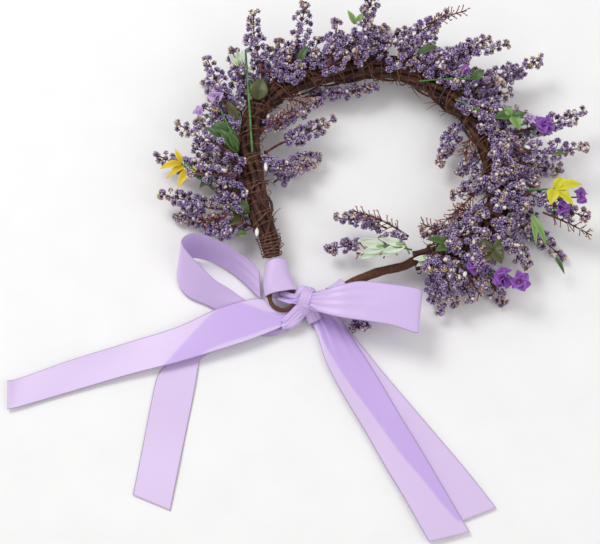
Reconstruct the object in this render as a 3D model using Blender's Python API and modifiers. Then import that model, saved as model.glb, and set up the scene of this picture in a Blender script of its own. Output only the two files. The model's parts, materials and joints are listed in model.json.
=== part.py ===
"""Lavender flower crown: a wound vine hoop, open at the back, tied with two satin ribbons.

Units are metres, +Z is up and the crown lies on the plane Z = 0. The origin is the middle of the
head opening on that plane. +Y points to the front of the crown, away from the bow at its back.
"""
import math

import bmesh
import bpy
from mathutils import Matrix, Vector

MM = 0.001
GAP = 0.3 * MM                    # air between two pieces that touch

# Hoop: six vines laid around one wire, bound with fine wire
HOOP_HALF_WIDTH = 80 * MM         # centreline, along X
HOOP_HALF_DEPTH = 76 * MM         # centreline, along Y
VINE_RADIUS = 2.2 * MM
VINE_LAY_GAP = 0.5 * MM           # air between the vines and the core
VINE_TURNS = 2.0                  # turns of lay from one end of the hoop to the other
HOOP_POINTS = 44                  # points on each vine
HOOP_FINE_POINTS = 400            # points on the measured centreline
BINDING_RADIUS = 0.5 * MM
BINDING_TURNS = 20
BINDING_POINTS_PER_TURN = 10

# Hoop centreline: angle in degrees, share of the half width and depth, height in mm
HOOP_SHAPE = (
    (222, 1.13, 13), (214, 1.05, 17), (202, 1.01, 20), (184, 0.99, 21), (168, 1.05, 21),
    (155, 1.12, 21), (143, 1.16, 21), (131, 1.12, 21), (116, 1.07, 21), (100, 1.04, 21),
    (83, 1.04, 21), (65, 1.01, 21), (47, 0.98, 21), (26, 0.96, 21), (4, 0.97, 21),
    (-14, 1.02, 21), (-30, 1.04, 20), (-42, 1.01, 18), (-56, 0.92, 16), (-69, 0.86, 14),
)

# Eyes of paper wrapped wire at the two ends
EYE_WIRE_RADIUS = 1.3 * MM
TAPE_RADIUS = 2.9 * MM
TAPE_POINTS = 12
HITCH_WALL = 1.0 * MM
HITCH_SIDES = 14

# Ribbon
RIBBON_WIDTH = 25 * MM
DRAWN_WIDTH = 25 * MM             # the ribbon width that the edge lists below are drawn for
TAIL_THICKNESS = 0.8 * MM
LOOP_THICKNESS = 1.0 * MM
KNOT_SIZE = (11 * MM, 15 * MM, 12 * MM)
KNOT_RISE = 3.4 * MM              # middle of the knot above the swing line
KNOT_FROM_HOOP_END = (22.6 * MM, -30 * MM)    # from the left end of the bundle, in plan
SWING_HEIGHT = 9 * MM             # height of the line through the two eyes

# Lavender
HEAD_RADIUS = 6.0 * MM
HEAD_SIDES = 6
STEM_RADIUS = 0.9 * MM
KNUCKLE_RADIUS = 1.7 * MM
BRANCH_RUN_IN = 4 * MM            # last straight stretch of a branch before its head
BRANCH_POINTS = 5
LEAF_THICKNESS = 0.8 * MM
LEAF_BITE = 0.03                  # share of a sprig's stem that a leaf's foot sits below its point

# Finish name: base colour, roughness, metallic
FINISHES = {
    "bark": ((0.09, 0.045, 0.028), 0.85, 0.0),
    "binding": ((0.16, 0.07, 0.035), 0.6, 0.0),
    "tape": ((0.13, 0.055, 0.03), 0.8, 0.0),
    "core": ((0.3, 0.3, 0.3), 0.4, 1.0),
    "satin": ((0.62, 0.45, 0.85), 0.35, 0.0),
    "stem": ((0.2, 0.06, 0.045), 0.6, 0.0),
    "lavender": ((0.25, 0.17, 0.45), 0.5, 0.0),
    "leaf": ((0.12, 0.3, 0.06), 0.5, 0.0),
    "yellow": ((0.8, 0.65, 0.04), 0.5, 0.0),
    "violet": ((0.4, 0.12, 0.55), 0.5, 0.0),
    "white": ((0.85, 0.9, 0.85), 0.5, 0.0),
}


# ---------------------------------------------------------------- helpers

def new_collection(name):
    made = bpy.data.collections.new(name)
    bpy.context.scene.collection.children.link(made)
    return made


def material(name, finish):
    colour, roughness, metallic = FINISHES[finish]
    made = bpy.data.materials.new(name)
    made.use_nodes = True
    shader = made.node_tree.nodes["Principled BSDF"]
    shader.inputs["Base Color"].default_value = (*colour, 1.0)
    shader.inputs["Roughness"].default_value = roughness
    shader.inputs["Metallic"].default_value = metallic
    return made


def add_object(name, data, collection, finish):
    made = bpy.data.objects.new(name, data)
    collection.objects.link(made)
    data.materials.append(material(name + "_" + finish, finish))
    return made


def smooth_path(points, count):
    """Catmull-Rom curve through the points, read at even steps of its parameter."""
    spans = len(points) - 1
    path = []
    for step in range(count):
        place = step * spans / (count - 1)
        k = min(int(place), spans - 1)
        f = place - k
        a, b = points[max(k - 1, 0)], points[k]
        c, d = points[k + 1], points[min(k + 2, spans)]
        path.append(0.5 * (2 * b + (c - a) * f + (2 * a - 5 * b + 4 * c - d) * f * f
                           + (3 * b - a - 3 * c + d) * f ** 3))
    return path


def tube(name, points, radius, collection, finish, resolution=1):
    """A wire along the points, with closed ends."""
    curve = bpy.data.curves.new(name, "CURVE")
    curve.dimensions = "3D"
    curve.bevel_depth = radius
    curve.bevel_resolution = resolution
    curve.use_fill_caps = True
    spline = curve.splines.new("POLY")
    spline.points.add(len(points) - 1)
    for spot, place in zip(spline.points, points):
        spot.co = (*place, 1.0)
    return add_object(name, curve, collection, finish)


def as_mesh(obj):
    """The object as a welded mesh object that Boolean modifiers accept."""
    bpy.context.view_layer.update()
    graph = bpy.context.evaluated_depsgraph_get()
    data = bpy.data.meshes.new_from_object(obj.evaluated_get(graph))
    bm = bmesh.new()
    bm.from_mesh(data)
    bmesh.ops.remove_doubles(bm, verts=bm.verts, dist=0.01 * MM)
    bmesh.ops.recalc_face_normals(bm, faces=bm.faces)
    bm.to_mesh(data)
    bm.free()
    name = obj.name
    made = bpy.data.objects.new(name + "_mesh", data)
    made.matrix_world = obj.matrix_world
    for holder in obj.users_collection:
        holder.objects.link(made)
    bpy.data.objects.remove(obj)
    made.name = name
    return made


def join_solids(first, others, cutters):
    """Boolean union of the others into the first; the others stay as hidden cutters."""
    for other in others:
        union = first.modifiers.new("join_" + other.name, "BOOLEAN")
        union.operation = "UNION"
        union.solver = "EXACT"
        union.object = other
        hide_cutter(other, cutters)
    return first


def hide_cutter(obj, cutters):
    for holder in obj.users_collection:
        holder.objects.unlink(obj)
    cutters.objects.link(obj)
    obj.hide_render = True
    obj.display_type = "WIRE"


def ribbon_strip(name, edges, thickness, pivot, collection, offset=0.0):
    """A strip lofted between pairs of edge points, thickened to a closed solid.

    Its origin is the pivot that it turns about.
    """
    bm = bmesh.new()
    rows = [[bm.verts.new(left - pivot), bm.verts.new(right - pivot)] for left, right in edges]
    for (a, b), (c, d) in zip(rows, rows[1:]):
        bm.faces.new((a, b, d, c))
    data = bpy.data.meshes.new(name)
    bm.to_mesh(data)
    bm.free()
    made = add_object(name, data, collection, "satin")
    made.location = pivot
    shell = made.modifiers.new("cloth", "SOLIDIFY")
    shell.thickness = thickness
    shell.offset = offset
    shell.use_even_offset = False
    return made


def loft(name, rings, collection, finish):
    """Open tube through rings of points."""
    bm = bmesh.new()
    rows = [[bm.verts.new(place) for place in ring] for ring in rings]
    for lower, upper in zip(rows, rows[1:]):
        for k in range(len(lower)):
            n = (k + 1) % len(lower)
            bm.faces.new((lower[k], lower[n], upper[n], upper[k]))
    bmesh.ops.recalc_face_normals(bm, faces=bm.faces)
    data = bpy.data.meshes.new(name)
    bm.to_mesh(data)
    bm.free()
    data.shade_smooth()
    return add_object(name, data, collection, finish)


# ---------------------------------------------------------------- hoop

def hoop_centreline():
    corners = []
    for angle, share, height in HOOP_SHAPE:
        turn = math.radians(angle)
        corners.append(Vector((HOOP_HALF_WIDTH * share * math.cos(turn),
                               HOOP_HALF_DEPTH * share * math.sin(turn), height * MM)))
    fine = smooth_path(corners, HOOP_FINE_POINTS)
    lengths = [0.0]
    for a, b in zip(fine, fine[1:]):
        lengths.append(lengths[-1] + (b - a).length)
    return fine, lengths


HOOP_FINE, HOOP_LENGTHS = hoop_centreline()
LAY_RADIUS = 2 * VINE_RADIUS + VINE_LAY_GAP    # vine centres from the core's centre
BUNDLE_RADIUS = LAY_RADIUS + VINE_RADIUS
BINDING_LAY = (BUNDLE_RADIUS + BINDING_RADIUS + GAP) / math.cos(math.pi / BINDING_POINTS_PER_TURN)
BUNDLE_OUTER = BINDING_LAY + BINDING_RADIUS


def hoop_frame(station):
    """Centre, direction along, direction out and up at a share of the hoop's length."""
    goal = station * HOOP_LENGTHS[-1]
    k = 1
    while k < len(HOOP_LENGTHS) - 2 and HOOP_LENGTHS[k] < goal:
        k += 1
    span = HOOP_LENGTHS[k] - HOOP_LENGTHS[k - 1]
    centre = HOOP_FINE[k - 1].lerp(HOOP_FINE[k], (goal - HOOP_LENGTHS[k - 1]) / span)
    along = (HOOP_FINE[k + 1] - HOOP_FINE[k - 1]).normalized()
    out = Vector((-along.y, along.x, 0)).normalized()
    return centre, along, out, along.cross(out) * -1


def hoop_place(station, out, along, up):
    """A point given in millimetres from the hoop's centreline at a station."""
    centre, forward, outward, _ = hoop_frame(station)
    level = Vector((forward.x, forward.y, 0)).normalized()
    return centre + outward * out * MM + level * along * MM + Vector((0, 0, up * MM))


def wound_path(radius, start_angle, turns, count):
    path = []
    for step in range(count):
        station = step / (count - 1)
        centre, _, out, up = hoop_frame(station)
        turn = start_angle + turns * 2 * math.pi * station
        path.append(centre + (out * math.cos(turn) + up * math.sin(turn)) * radius)
    return path


def make_hoop(parts):
    tube("wire_core", wound_path(0, 0, 0, HOOP_POINTS), VINE_RADIUS - GAP, parts, "core")
    for k in range(6):
        path = wound_path(LAY_RADIUS, k * math.pi / 3, VINE_TURNS, HOOP_POINTS)
        tube(f"vine_{k + 1}", path, VINE_RADIUS, parts, "bark")
    count = BINDING_TURNS * BINDING_POINTS_PER_TURN + 1
    tube("binding_wire", wound_path(BINDING_LAY, 0, BINDING_TURNS, count),
         BINDING_RADIUS, parts, "binding", resolution=0)


# ---------------------------------------------------------------- eyes and hitches

LEFT_END = HOOP_FINE[0]
RIGHT_END = HOOP_FINE[-1]
KNOT = Vector((LEFT_END.x + KNOT_FROM_HOOP_END[0], LEFT_END.y + KNOT_FROM_HOOP_END[1],
               SWING_HEIGHT))


def from_knot(x, y, z):
    """A point in millimetres from the knot in plan, with its own height above the table."""
    return Vector((KNOT.x + x * MM, KNOT.y + y * MM, z * MM))


# Centreline of each wire eye, from the knot
LEFT_EYE = ((-19.5, 18, 10), (-21.5, 8, 9.2), (-22.5, 2, 9), (-20.5, -4, 9), (-16, -7, 9),
            (-11.5, -5.5, 9), (-9.5, 0, 9), (-10.8, 6, 9.2), (-14, 18, 10))
RIGHT_EYE = ((15.5, 5.2, 9), (11, 5.8, 9), (7.4, 3.6, 9), (6.8, -0.6, 9), (10, -3, 9),
             (14.5, -1.6, 9))
# Sleeve of ribbon over each end: centre, half width, half thickness
LEFT_HITCH = (((-20.5, 25.5, 12.4), 9.6, 8.6), ((-19.5, 19, 11.5), 10.2, 6.8),
              ((-18, 12, 10.8), 10.6, 4.8), ((-16.3, 5.5, 9.6), 10.2, 4.4))
TAPE = TAPE_RADIUS / MM
RIGHT_HITCH = (((24, 10.5, 9.2), TAPE + 2.7, TAPE + 2.3), ((20, 7.6, 9), TAPE + 2.7, TAPE + 1.5),
               ((16, 4.6, 9), TAPE + 3.3, TAPE + 0.5))


def make_eye(name, places, parts):
    path = smooth_path([from_knot(*place) for place in places], 3 * len(places))
    tube(name, path, EYE_WIRE_RADIUS, parts, "tape")


def make_hitch(name, sections, direction, parts):
    """A ribbon sleeve: elliptical rings across the direction, with a wall."""
    across = Vector((-direction[1], direction[0], 0)).normalized()
    rings = []
    for centre, half_width, half_height in sections:
        ring = []
        for k in range(HITCH_SIDES):
            turn = 2 * math.pi * k / HITCH_SIDES
            ring.append(from_knot(*centre) + across * math.cos(turn) * half_width * MM
                        + Vector((0, 0, math.sin(turn) * half_height * MM)))
        rings.append(ring)
    sleeve = loft(name, rings, parts, "satin")
    wall = sleeve.modifiers.new("wall", "SOLIDIFY")
    wall.thickness = HITCH_WALL
    wall.offset = -1.0


# The taped bar runs from the right end of the bundle to the right eye. Between them it bows
# away from the straight line: share of the way, and offset in mm along Y and up
TAPE_BOW = ((0.14, 0.0, -1.2), (0.45, 2.8, -0.8), (0.76, 2.7, -0.6))
TAPE_END = (17.5, 5.8, 9)
END_SLANT = 0.2                   # how far out of square the vines and the tape end


def make_ends(parts):
    make_eye("left_eye", LEFT_EYE, parts)
    make_eye("right_eye", RIGHT_EYE, parts)
    start = RIGHT_END + hoop_frame(1.0)[1] * (GAP + END_SLANT * (VINE_RADIUS + TAPE_RADIUS))
    end = from_knot(*TAPE_END)
    bows = [start.lerp(end, share) + Vector((0, side * MM, up * MM)) for share, side, up in TAPE_BOW]
    tube("right_end_tape", smooth_path([start, *bows, end], TAPE_POINTS), TAPE_RADIUS, parts, "tape")
    make_hitch("left_hitch", LEFT_HITCH, (0.2, -1), parts)
    make_hitch("right_hitch", RIGHT_HITCH, (-0.8, -0.6), parts)


# ---------------------------------------------------------------- ribbon bow

# Edge pairs from the knot outwards, millimetres from the knot in plan. Tail A also has heights
TAIL_A = (((-3, -1.5), (-0.5, -8), 6.3), ((-9, -3.4), (-7.5, -12.3), 6.3),
          ((-16, -5.8), (-15, -16), 6.3), ((-22.5, -2.2), (-20.5, -18.8), 6.3),
          ((-28.5, 2.2), (-27.5, -22), 6.3), ((-38, 1.4), (-38, -26.5), 6.3),
          ((-59, -5.5), (-59, -33.5), 6.3), ((-82, -16), (-84, -41), 5.2),
          ((-113, -26), (-114, -48.5), 3.0), ((-150, -38), (-152, -60), 2.0),
          ((-189, -52), (-188, -71), 1.5))
TAIL_B = (((-4, -3), (-1, -8)), ((-14, -7), (-12, -14)), ((-26, -6.5), (-25, -18.5)),
          ((-38, -2), (-37.5, -23)), ((-48, -0.5), (-50, -27)), ((-60, -7), (-60, -31)),
          ((-71, -18.5), (-66.5, -35)), ((-81, -30.5), (-69, -41)), ((-92.5, -44), (-70.2, -50)),
          ((-97.5, -62), (-73, -68)), ((-108, -126), (-84, -136)))
TAIL_C = (((-1, -5), (5, -3)), ((2, -9), (14, -5.5)), ((4.5, -15), (22, -11)),
          ((7.5, -24), (28, -20.5)), ((16, -48.5), (38, -38)), ((36, -85.5), (58, -75)),
          ((59, -128.5), (81, -117.5)), ((73, -156), (98, -149)))
TAIL_D = (((0, -6), (5, -5)), ((4.5, -13), (14, -8)), ((9, -22.5), (25, -15.5)),
          ((16, -36), (34.5, -27)), ((38, -71), (58.5, -59)), ((71.5, -118), (92, -102.5)),
          ((91.5, -144), (115, -134.5)))
FLAT_TAILS = (("tail_b", TAIL_B), ("tail_d", TAIL_D), ("tail_c", TAIL_C))    # lowest first

# Edge pairs as 3-D points
LOOP_LEFT = (((-4, -4, 5.4), (-4, -10, 4.8)), ((-12, -8, 5.2), (-13, -18, 3.6)),
             ((-25, -2, 4.9), (-28, -21, 2.2)), ((-37.5, 1, 5.4), (-45, -14, 1.8)),
             ((-50, 8.5, 11), (-57.5, -3.5, 1.8)), ((-60, 13.5, 15), (-65, 1, 1.8)),
             ((-70.5, 22.5, 20), (-76.5, 6.5, 2)), ((-78.5, 30, 22.5), (-83, 15, 2)),
             ((-80.5, 37, 24), (-84, 28, 2)), ((-69, 40.5, 25), (-72, 34, 2.5)),
             ((-56.5, 36, 24), (-60, 30, 2.3)), ((-44, 30, 19), (-48, 23, 2)),
             ((-36.5, 25, 14), (-38.5, 14, 2.2)), ((-31.5, 20.5, 10), (-31.5, 4, 4.8)))
LOOP_RIGHT = (((6.5, 4, 15.6), (6.5, -4, 13.2)), ((11, 5, 16), (10, -9, 13.5)),
              ((28, 5.5, 17.5), (25, -14, 15)), ((50, 3, 19), (48, -17.5, 17)),
              ((66, 1.5, 21.5), (63.5, -22, 19.5)), ((73, 1, 25), (70.5, -25, 22.5)),
              ((68.5, 2, 29), (66, -27.5, 26)), ((54, 3.2, 29), (53.5, -23.8, 25.5)),
              ((34, 5.8, 28), (37, -20.2, 24.5)), ((20, 3.6, 26), (20.3, -16.8, 23)),
              ((10.5, 2.4, 22.2), (8, -10, 21)), ((6.5, 2.5, 19.4), (6.5, -5, 18)))


def widened(fixed, moving):
    """The moving edge point, for the ribbon width in use."""
    return fixed + (moving - fixed) * (RIBBON_WIDTH / DRAWN_WIDTH)


def make_tail(name, stations, parts):
    """A flat tail from stations of edge, edge and height in mm; it widens from its first edge."""
    edges = []
    for left, right, height in stations:
        first = from_knot(*left, height)
        edges.append((first, widened(first, from_knot(*right, height))))
    ribbon_strip(name, edges, TAIL_THICKNESS, KNOT, parts, offset=-1.0)


def make_loop(name, stations, parts):
    """A bow loop from stations of two 3-D edge points; it widens from its lower edge."""
    edges = []
    for upper, lower in stations:
        foot = from_knot(*lower)
        edges.append((widened(foot, from_knot(*upper)), foot))
    ribbon_strip(name, edges, LOOP_THICKNESS, KNOT, parts)


def make_knot(parts):
    bpy.ops.mesh.primitive_cube_add(size=1)
    cage = bpy.context.object
    data = cage.data
    bpy.data.objects.remove(cage)
    for vertex in data.vertices:
        scaled = Vector([c * s for c, s in zip(vertex.co, KNOT_SIZE)])
        vertex.co = scaled + Vector((0, 0, KNOT_RISE))
    knot = add_object("bow_knot", data, parts, "satin")
    knot.location = KNOT
    rounding = knot.modifiers.new("soft", "SUBSURF")
    rounding.levels = 2
    rounding.render_levels = 2


def make_bow(parts):
    make_tail("tail_a", TAIL_A, parts)
    for layer, (name, pairs) in enumerate(FLAT_TAILS):
        height = layer * (TAIL_THICKNESS + GAP) / MM
        make_tail(name, [(left, right, height) for left, right in pairs], parts)
    make_loop("bow_loop_left", LOOP_LEFT, parts)
    make_loop("bow_loop_right", LOOP_RIGHT, parts)
    make_knot(parts)


# ---------------------------------------------------------------- lavender

# The sprays beside the bow keep their distance from the hoop's left end, as the bow does
LOW_LEFT_FROM_END = 35.8 * MM
LEFT_FROM_END = 62.1 * MM
YELLOW_LEFT_FROM_END = 62.1 * MM

# Stem name, station on the hoop, direction of its knuckle round the bundle in degrees from
# straight out, shift along the hoop, and for each head its base and tip as (out, along, up)
# from the knuckle in mm
SPRAYS = (
    ("low_left", LOW_LEFT_FROM_END / HOOP_LENGTHS[-1], -7, -1, (((23, 7, 0), (51, 23, -2)), ((14, -3, -12.3), (44, 12, -15.3)),
                                 ((7, -12, 5), (29, -13, -3)))),
    ("left", LEFT_FROM_END / HOOP_LENGTHS[-1], 24, 0, (((18, 4, -7), (50, 24, -10)), ((7, -11, 13), (32, -6, 16)),
                            ((6, 10, 9), (34, 34, 10)))),
    ("upper_left", 0.231, 6, 3, (((7, 2, 12), (27, 33, 16)), ((9, 11, -12.7), (29, 35, -19.7)))),
    ("top_left", 0.325, 50, 0, (((7, -11, 9), (43, 3, 12)), ((5, 11, 6), (35, 38, 10)))),
    ("top", 0.428, 61, 2, (((-7, -13, 9.5), (21, -4, 12.5)), ((-5, 6, 10), (21, 16, 17)),
                           ((16, 18, -17.5), (37, 32, -28.3)))),
    ("upper_right", 0.59, 32, 2, (((3, -6, 11), (35, 20, 16)), ((13, 18, -2), (51, 38, -4)))),
    ("right", 0.717, 11, 4, (((15, -2, 7), (59, -6, 2)), ((9, 16, 12), (49, 24, 8)),
                             ((7, 10, -14.4), (35, 20, -20.4)))),
    ("low_right", 0.83, 1, -1, (((10, -8, 9), (49, -4, 4)), ((7, 4, -11.6), (39, 18, -18.6)))),
    ("bottom", 0.926, 23, 1, (((4, -9, -6.8), (30, -17, -19.8)), ((0, 15, 4), (26, 17, -6)))),
    ("inner_left", 0.186, -165, -1, (((-12, 7, 0), (-46, 19, 7)),
                                     ((-10, -9, -5), (-36, -1, -7)))),
)

# Radius and height of a head from its tip down to its base, as shares: a lumpy spindle
HEAD_PROFILE = ((0.0, 1.0), (0.55, 0.93), (0.7, 0.8), (0.92, 0.66), (0.84, 0.53), (1.0, 0.38),
                (0.86, 0.24), (0.72, 0.12), (0.25, 0.02), (0.0, 0.0))


def make_head(name, base, tip, parts):
    length = (tip - base).length
    data = bpy.data.meshes.new(name)
    profile = [(r * HEAD_RADIUS, 0, z * length) for r, z in HEAD_PROFILE]
    data.from_pydata(profile, [(k, k + 1) for k in range(len(profile) - 1)], [])
    head = add_object(name, data, parts, "lavender")
    head.matrix_world = (Matrix.Translation(base)
                         @ (tip - base).to_track_quat("Z", "Y").to_matrix().to_4x4())
    turned = head.modifiers.new("turned", "SCREW")
    turned.axis = "Z"
    turned.steps = HEAD_SIDES
    turned.render_steps = HEAD_SIDES
    turned.use_merge_vertices = True
    turned.merge_threshold = 0.05 * MM
    turned.use_smooth_shade = True


def make_stem(name, knuckle, branch_ends, parts, cutters):
    """A forked plastic stem: one knuckle on the hoop and a branch to each head."""
    bpy.ops.mesh.primitive_ico_sphere_add(subdivisions=1, radius=KNUCKLE_RADIUS)
    ball = bpy.context.object
    data = ball.data
    bpy.data.objects.remove(ball)
    stem = add_object(name, data, parts, "stem")
    stem.location = knuckle
    branches = []
    for k, (approach, end) in enumerate(branch_ends):
        path = smooth_path([knuckle, approach, end], BRANCH_POINTS)
        branches.append(as_mesh(tube(f"{name}_branch_{k + 1}", path, STEM_RADIUS, parts, "stem")))
    join_solids(stem, branches, cutters)


def make_lavender(parts, cutters):
    reach = (BUNDLE_OUTER + GAP + KNUCKLE_RADIUS) / MM
    for name, station, angle, shift, heads in SPRAYS:
        turn = math.radians(angle)
        foot = (reach * math.cos(turn), shift, reach * math.sin(turn))
        ends = []
        for k, spans in enumerate(heads):
            root, point = [hoop_place(station, *[a + b for a, b in zip(foot, span)])
                           for span in spans]
            make_head(f"lavender_{name}_{k + 1}", root, point, parts)
            direction = (point - root).normalized()
            end = root - direction * 2 * GAP
            ends.append((end - direction * BRANCH_RUN_IN, end))
        make_stem(f"stem_{name}", hoop_place(station, *foot), ends, parts, cutters)


# ---------------------------------------------------------------- leaves and blossoms

LEAF_OUTLINE = ((0.0, 0.06), (0.25, 0.4), (0.55, 0.5), (0.85, 0.25), (1.0, 0.0))


def leaf_plate(name, base, tip, width, collection, finish):
    """A pointed oval plate from base to tip: a filled flat outline."""
    curve = bpy.data.curves.new(name, "CURVE")
    curve.dimensions = "2D"
    curve.fill_mode = "BOTH"
    curve.extrude = LEAF_THICKNESS / 2
    length = (tip - base).length
    right = [(x * length, y * width) for x, y in LEAF_OUTLINE]
    left = [(x * length, -y * width) for x, y in reversed(LEAF_OUTLINE[:-1])]
    outline = right + left
    spline = curve.splines.new("POLY")
    spline.points.add(len(outline) - 1)
    for spot, (x, y) in zip(spline.points, outline):
        spot.co = (x, y, 0, 1)
    spline.use_cyclic_u = True
    plate = add_object(name, curve, collection, finish)
    forward = (tip - base).normalized()
    side = Vector((0, 0, 1)).cross(forward).normalized()
    turn = Matrix((forward, side, forward.cross(side))).transposed().to_4x4()
    plate.matrix_world = Matrix.Translation(base) @ turn
    return as_mesh(plate)


# Sprig name, finish, station, stem from and to, and leaves as (share of the stem where it
# grows, tip, width), in mm
SPRIGS = (
    ("yellow_sprig_left", "yellow", YELLOW_LEFT_FROM_END / HOOP_LENGTHS[-1], ((14, -4, -10), (48, 6, 4)),
     ((0.7, (52, -8, 4), 7), (1.0, (60, 8, 5), 5), (0.85, (52, 18, 5), 5))),
    ("yellow_sprig_right", "yellow", 0.80, ((16, 0, 4), (44, -8, 18)),
     ((0.7, (42, 8, 16), 8), (1.0, (58, -10, 18), 7), (0.85, (50, -22, 18), 7))),
    ("leaf_sprig_left", "leaf", 0.231, ((12, -6, 10), (14, -46, 6)),
     ((0.2, (24, -10, 12), 9), (0.5, (21, -36, 3), 8), (0.85, (24, -54, 6), 8))),
    ("violet_blossom_sprig", "violet", 0.89, ((14, -2, -8), (40, -6, -4)),
     ((0.7, (44, 8, -2), 9), (1.0, (52, -6, -1), 9), (0.8, (44, -20, -2), 9))),
    ("white_blossom_sprig", "white", 0.955, ((-12, 8, 2), (-10, 44, 6)),
     ((0.75, (-22, 44, 8), 6), (1.0, (-11, 58, 8), 6), (0.85, (2, 48, 8), 6))),
)


def make_sprigs(parts, cutters):
    for name, finish, station, stem_ends, leaves in SPRIGS:
        start, end = [hoop_place(station, *place) for place in stem_ends]
        stem = as_mesh(tube(name, [start, end], STEM_RADIUS, parts, finish))
        plates = []
        for k, (share, tip, width) in enumerate(leaves):
            root = start.lerp(end, share - LEAF_BITE)
            plates.append(leaf_plate(f"{name}_leaf_{k + 1}", root, hoop_place(station, *tip),
                                     width * MM, parts, finish))
        join_solids(stem, plates, cutters)


def main():
    for obj in list(bpy.data.objects):
        bpy.data.objects.remove(obj)
    parts = new_collection("flower_crown")
    cutters = new_collection("cutters")
    make_hoop(parts)
    make_ends(parts)
    make_bow(parts)
    make_lavender(parts, cutters)
    make_sprigs(parts, cutters)


main()
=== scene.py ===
# %% [markdown]
# # A lavender flower crown with a satin bow
# The crown is a hoop of brown vines, bound with thin wire and set all round with sprigs of
# artificial lavender. A wide satin ribbon ties its two ends. The plain solids of the frame
# already have the right sizes and joints. Each cell below puts the real look of one piece
# around them, so that every piece still moves as the frame does.

# %% Load the frame
import json
import math

import bpy
import numpy as np
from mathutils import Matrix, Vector


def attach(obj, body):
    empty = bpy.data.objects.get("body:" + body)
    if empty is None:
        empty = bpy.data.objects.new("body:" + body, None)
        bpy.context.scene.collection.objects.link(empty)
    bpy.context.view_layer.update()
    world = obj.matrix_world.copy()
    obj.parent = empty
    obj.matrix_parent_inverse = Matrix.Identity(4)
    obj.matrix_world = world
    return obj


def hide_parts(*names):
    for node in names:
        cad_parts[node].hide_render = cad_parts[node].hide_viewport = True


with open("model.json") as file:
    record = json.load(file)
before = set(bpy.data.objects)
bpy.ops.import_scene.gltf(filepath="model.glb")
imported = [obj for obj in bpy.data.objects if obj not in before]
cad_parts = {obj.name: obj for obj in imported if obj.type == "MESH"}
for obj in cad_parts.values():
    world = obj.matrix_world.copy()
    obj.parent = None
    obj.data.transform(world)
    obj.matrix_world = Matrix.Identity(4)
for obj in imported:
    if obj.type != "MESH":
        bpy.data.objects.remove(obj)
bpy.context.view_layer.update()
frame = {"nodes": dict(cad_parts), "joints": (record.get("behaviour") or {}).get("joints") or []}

MM = 0.001

# %% [markdown]
# ## Camera, lights and table
# A product like this is shot from high up, so that the ring reads as a ring. A long lens keeps
# the far side of the hoop from shrinking. Two wide, soft area lights and a bright world give
# the even light of a studio tent, and the table is a plain pale plane.

# %% Camera
CAMERA_ELEVATION = math.radians(65)
CAMERA_DISTANCE = 1.2
CAMERA_AIM = Vector((-0.04916, -0.0623, 0.0))
CAMERA_LENS = 110.8               # millimetres, on a sensor 36 mm wide


def add_camera():
    data = bpy.data.cameras.new("camera")
    data.lens = CAMERA_LENS
    data.sensor_width = 36.0
    camera = bpy.data.objects.new("camera", data)
    back = Vector((0, -math.cos(CAMERA_ELEVATION), math.sin(CAMERA_ELEVATION)))
    camera.location = CAMERA_AIM + back * CAMERA_DISTANCE
    camera.rotation_euler = (math.pi / 2 - CAMERA_ELEVATION, 0, 0)
    bpy.context.scene.collection.objects.link(camera)
    bpy.context.scene.camera = camera
    return camera


add_camera()

# %% Lights and world
def add_light(name, place, aim, size, watts):
    """A square area light that points at a place on the table."""
    data = bpy.data.lights.new(name, "AREA")
    data.shape = "SQUARE"
    data.size = size
    data.energy = watts
    light = bpy.data.objects.new(name, data)
    light.location = place
    light.rotation_euler = (Vector(aim) - Vector(place)).to_track_quat("-Z", "Y").to_euler()
    bpy.context.scene.collection.objects.link(light)
    return light


add_light("key_light", (-0.7, 0.5, 1.3), (0, -0.05, 0), 0.7, 10.5)
add_light("fill_light", (0.9, -0.6, 1.2), (0, -0.05, 0), 1.0, 4)

world = bpy.data.worlds.new("studio")
world.use_nodes = True
world.node_tree.nodes["Background"].inputs["Color"].default_value = (1.0, 0.99, 0.985, 1)
world.node_tree.nodes["Background"].inputs["Strength"].default_value = 0.58
bpy.context.scene.world = world
bpy.context.scene.view_settings.view_transform = "Standard"

# %% [markdown]
# ## Materials written as sums
# A material is a net of nodes, and most of those nodes are arithmetic. `Value` wraps one
# socket, so that `0.5 * grain + 0.2` adds its Math nodes by itself. `Finish` is a material
# under construction: its `node` method makes any other node from a type, its settings and its
# inputs, which may be numbers or other sockets.

# %% Value and Finish
class Value:
    """One output socket, which can take part in sums."""

    def __init__(self, finish, socket):
        self.finish = finish
        self.socket = socket

    def maths(self, operation, first, second):
        return self.finish.node("ShaderNodeMath", {"operation": operation},
                                {0: first, 1: second})

    def __add__(self, other):
        return self.maths("ADD", self, other)

    def __radd__(self, other):
        return self.maths("ADD", other, self)

    def __sub__(self, other):
        return self.maths("SUBTRACT", self, other)

    def __rsub__(self, other):
        return self.maths("SUBTRACT", other, self)

    def __mul__(self, other):
        return self.maths("MULTIPLY", self, other)

    def __rmul__(self, other):
        return self.maths("MULTIPLY", other, self)

    def __gt__(self, other):
        return self.maths("GREATER_THAN", self, other)


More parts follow.
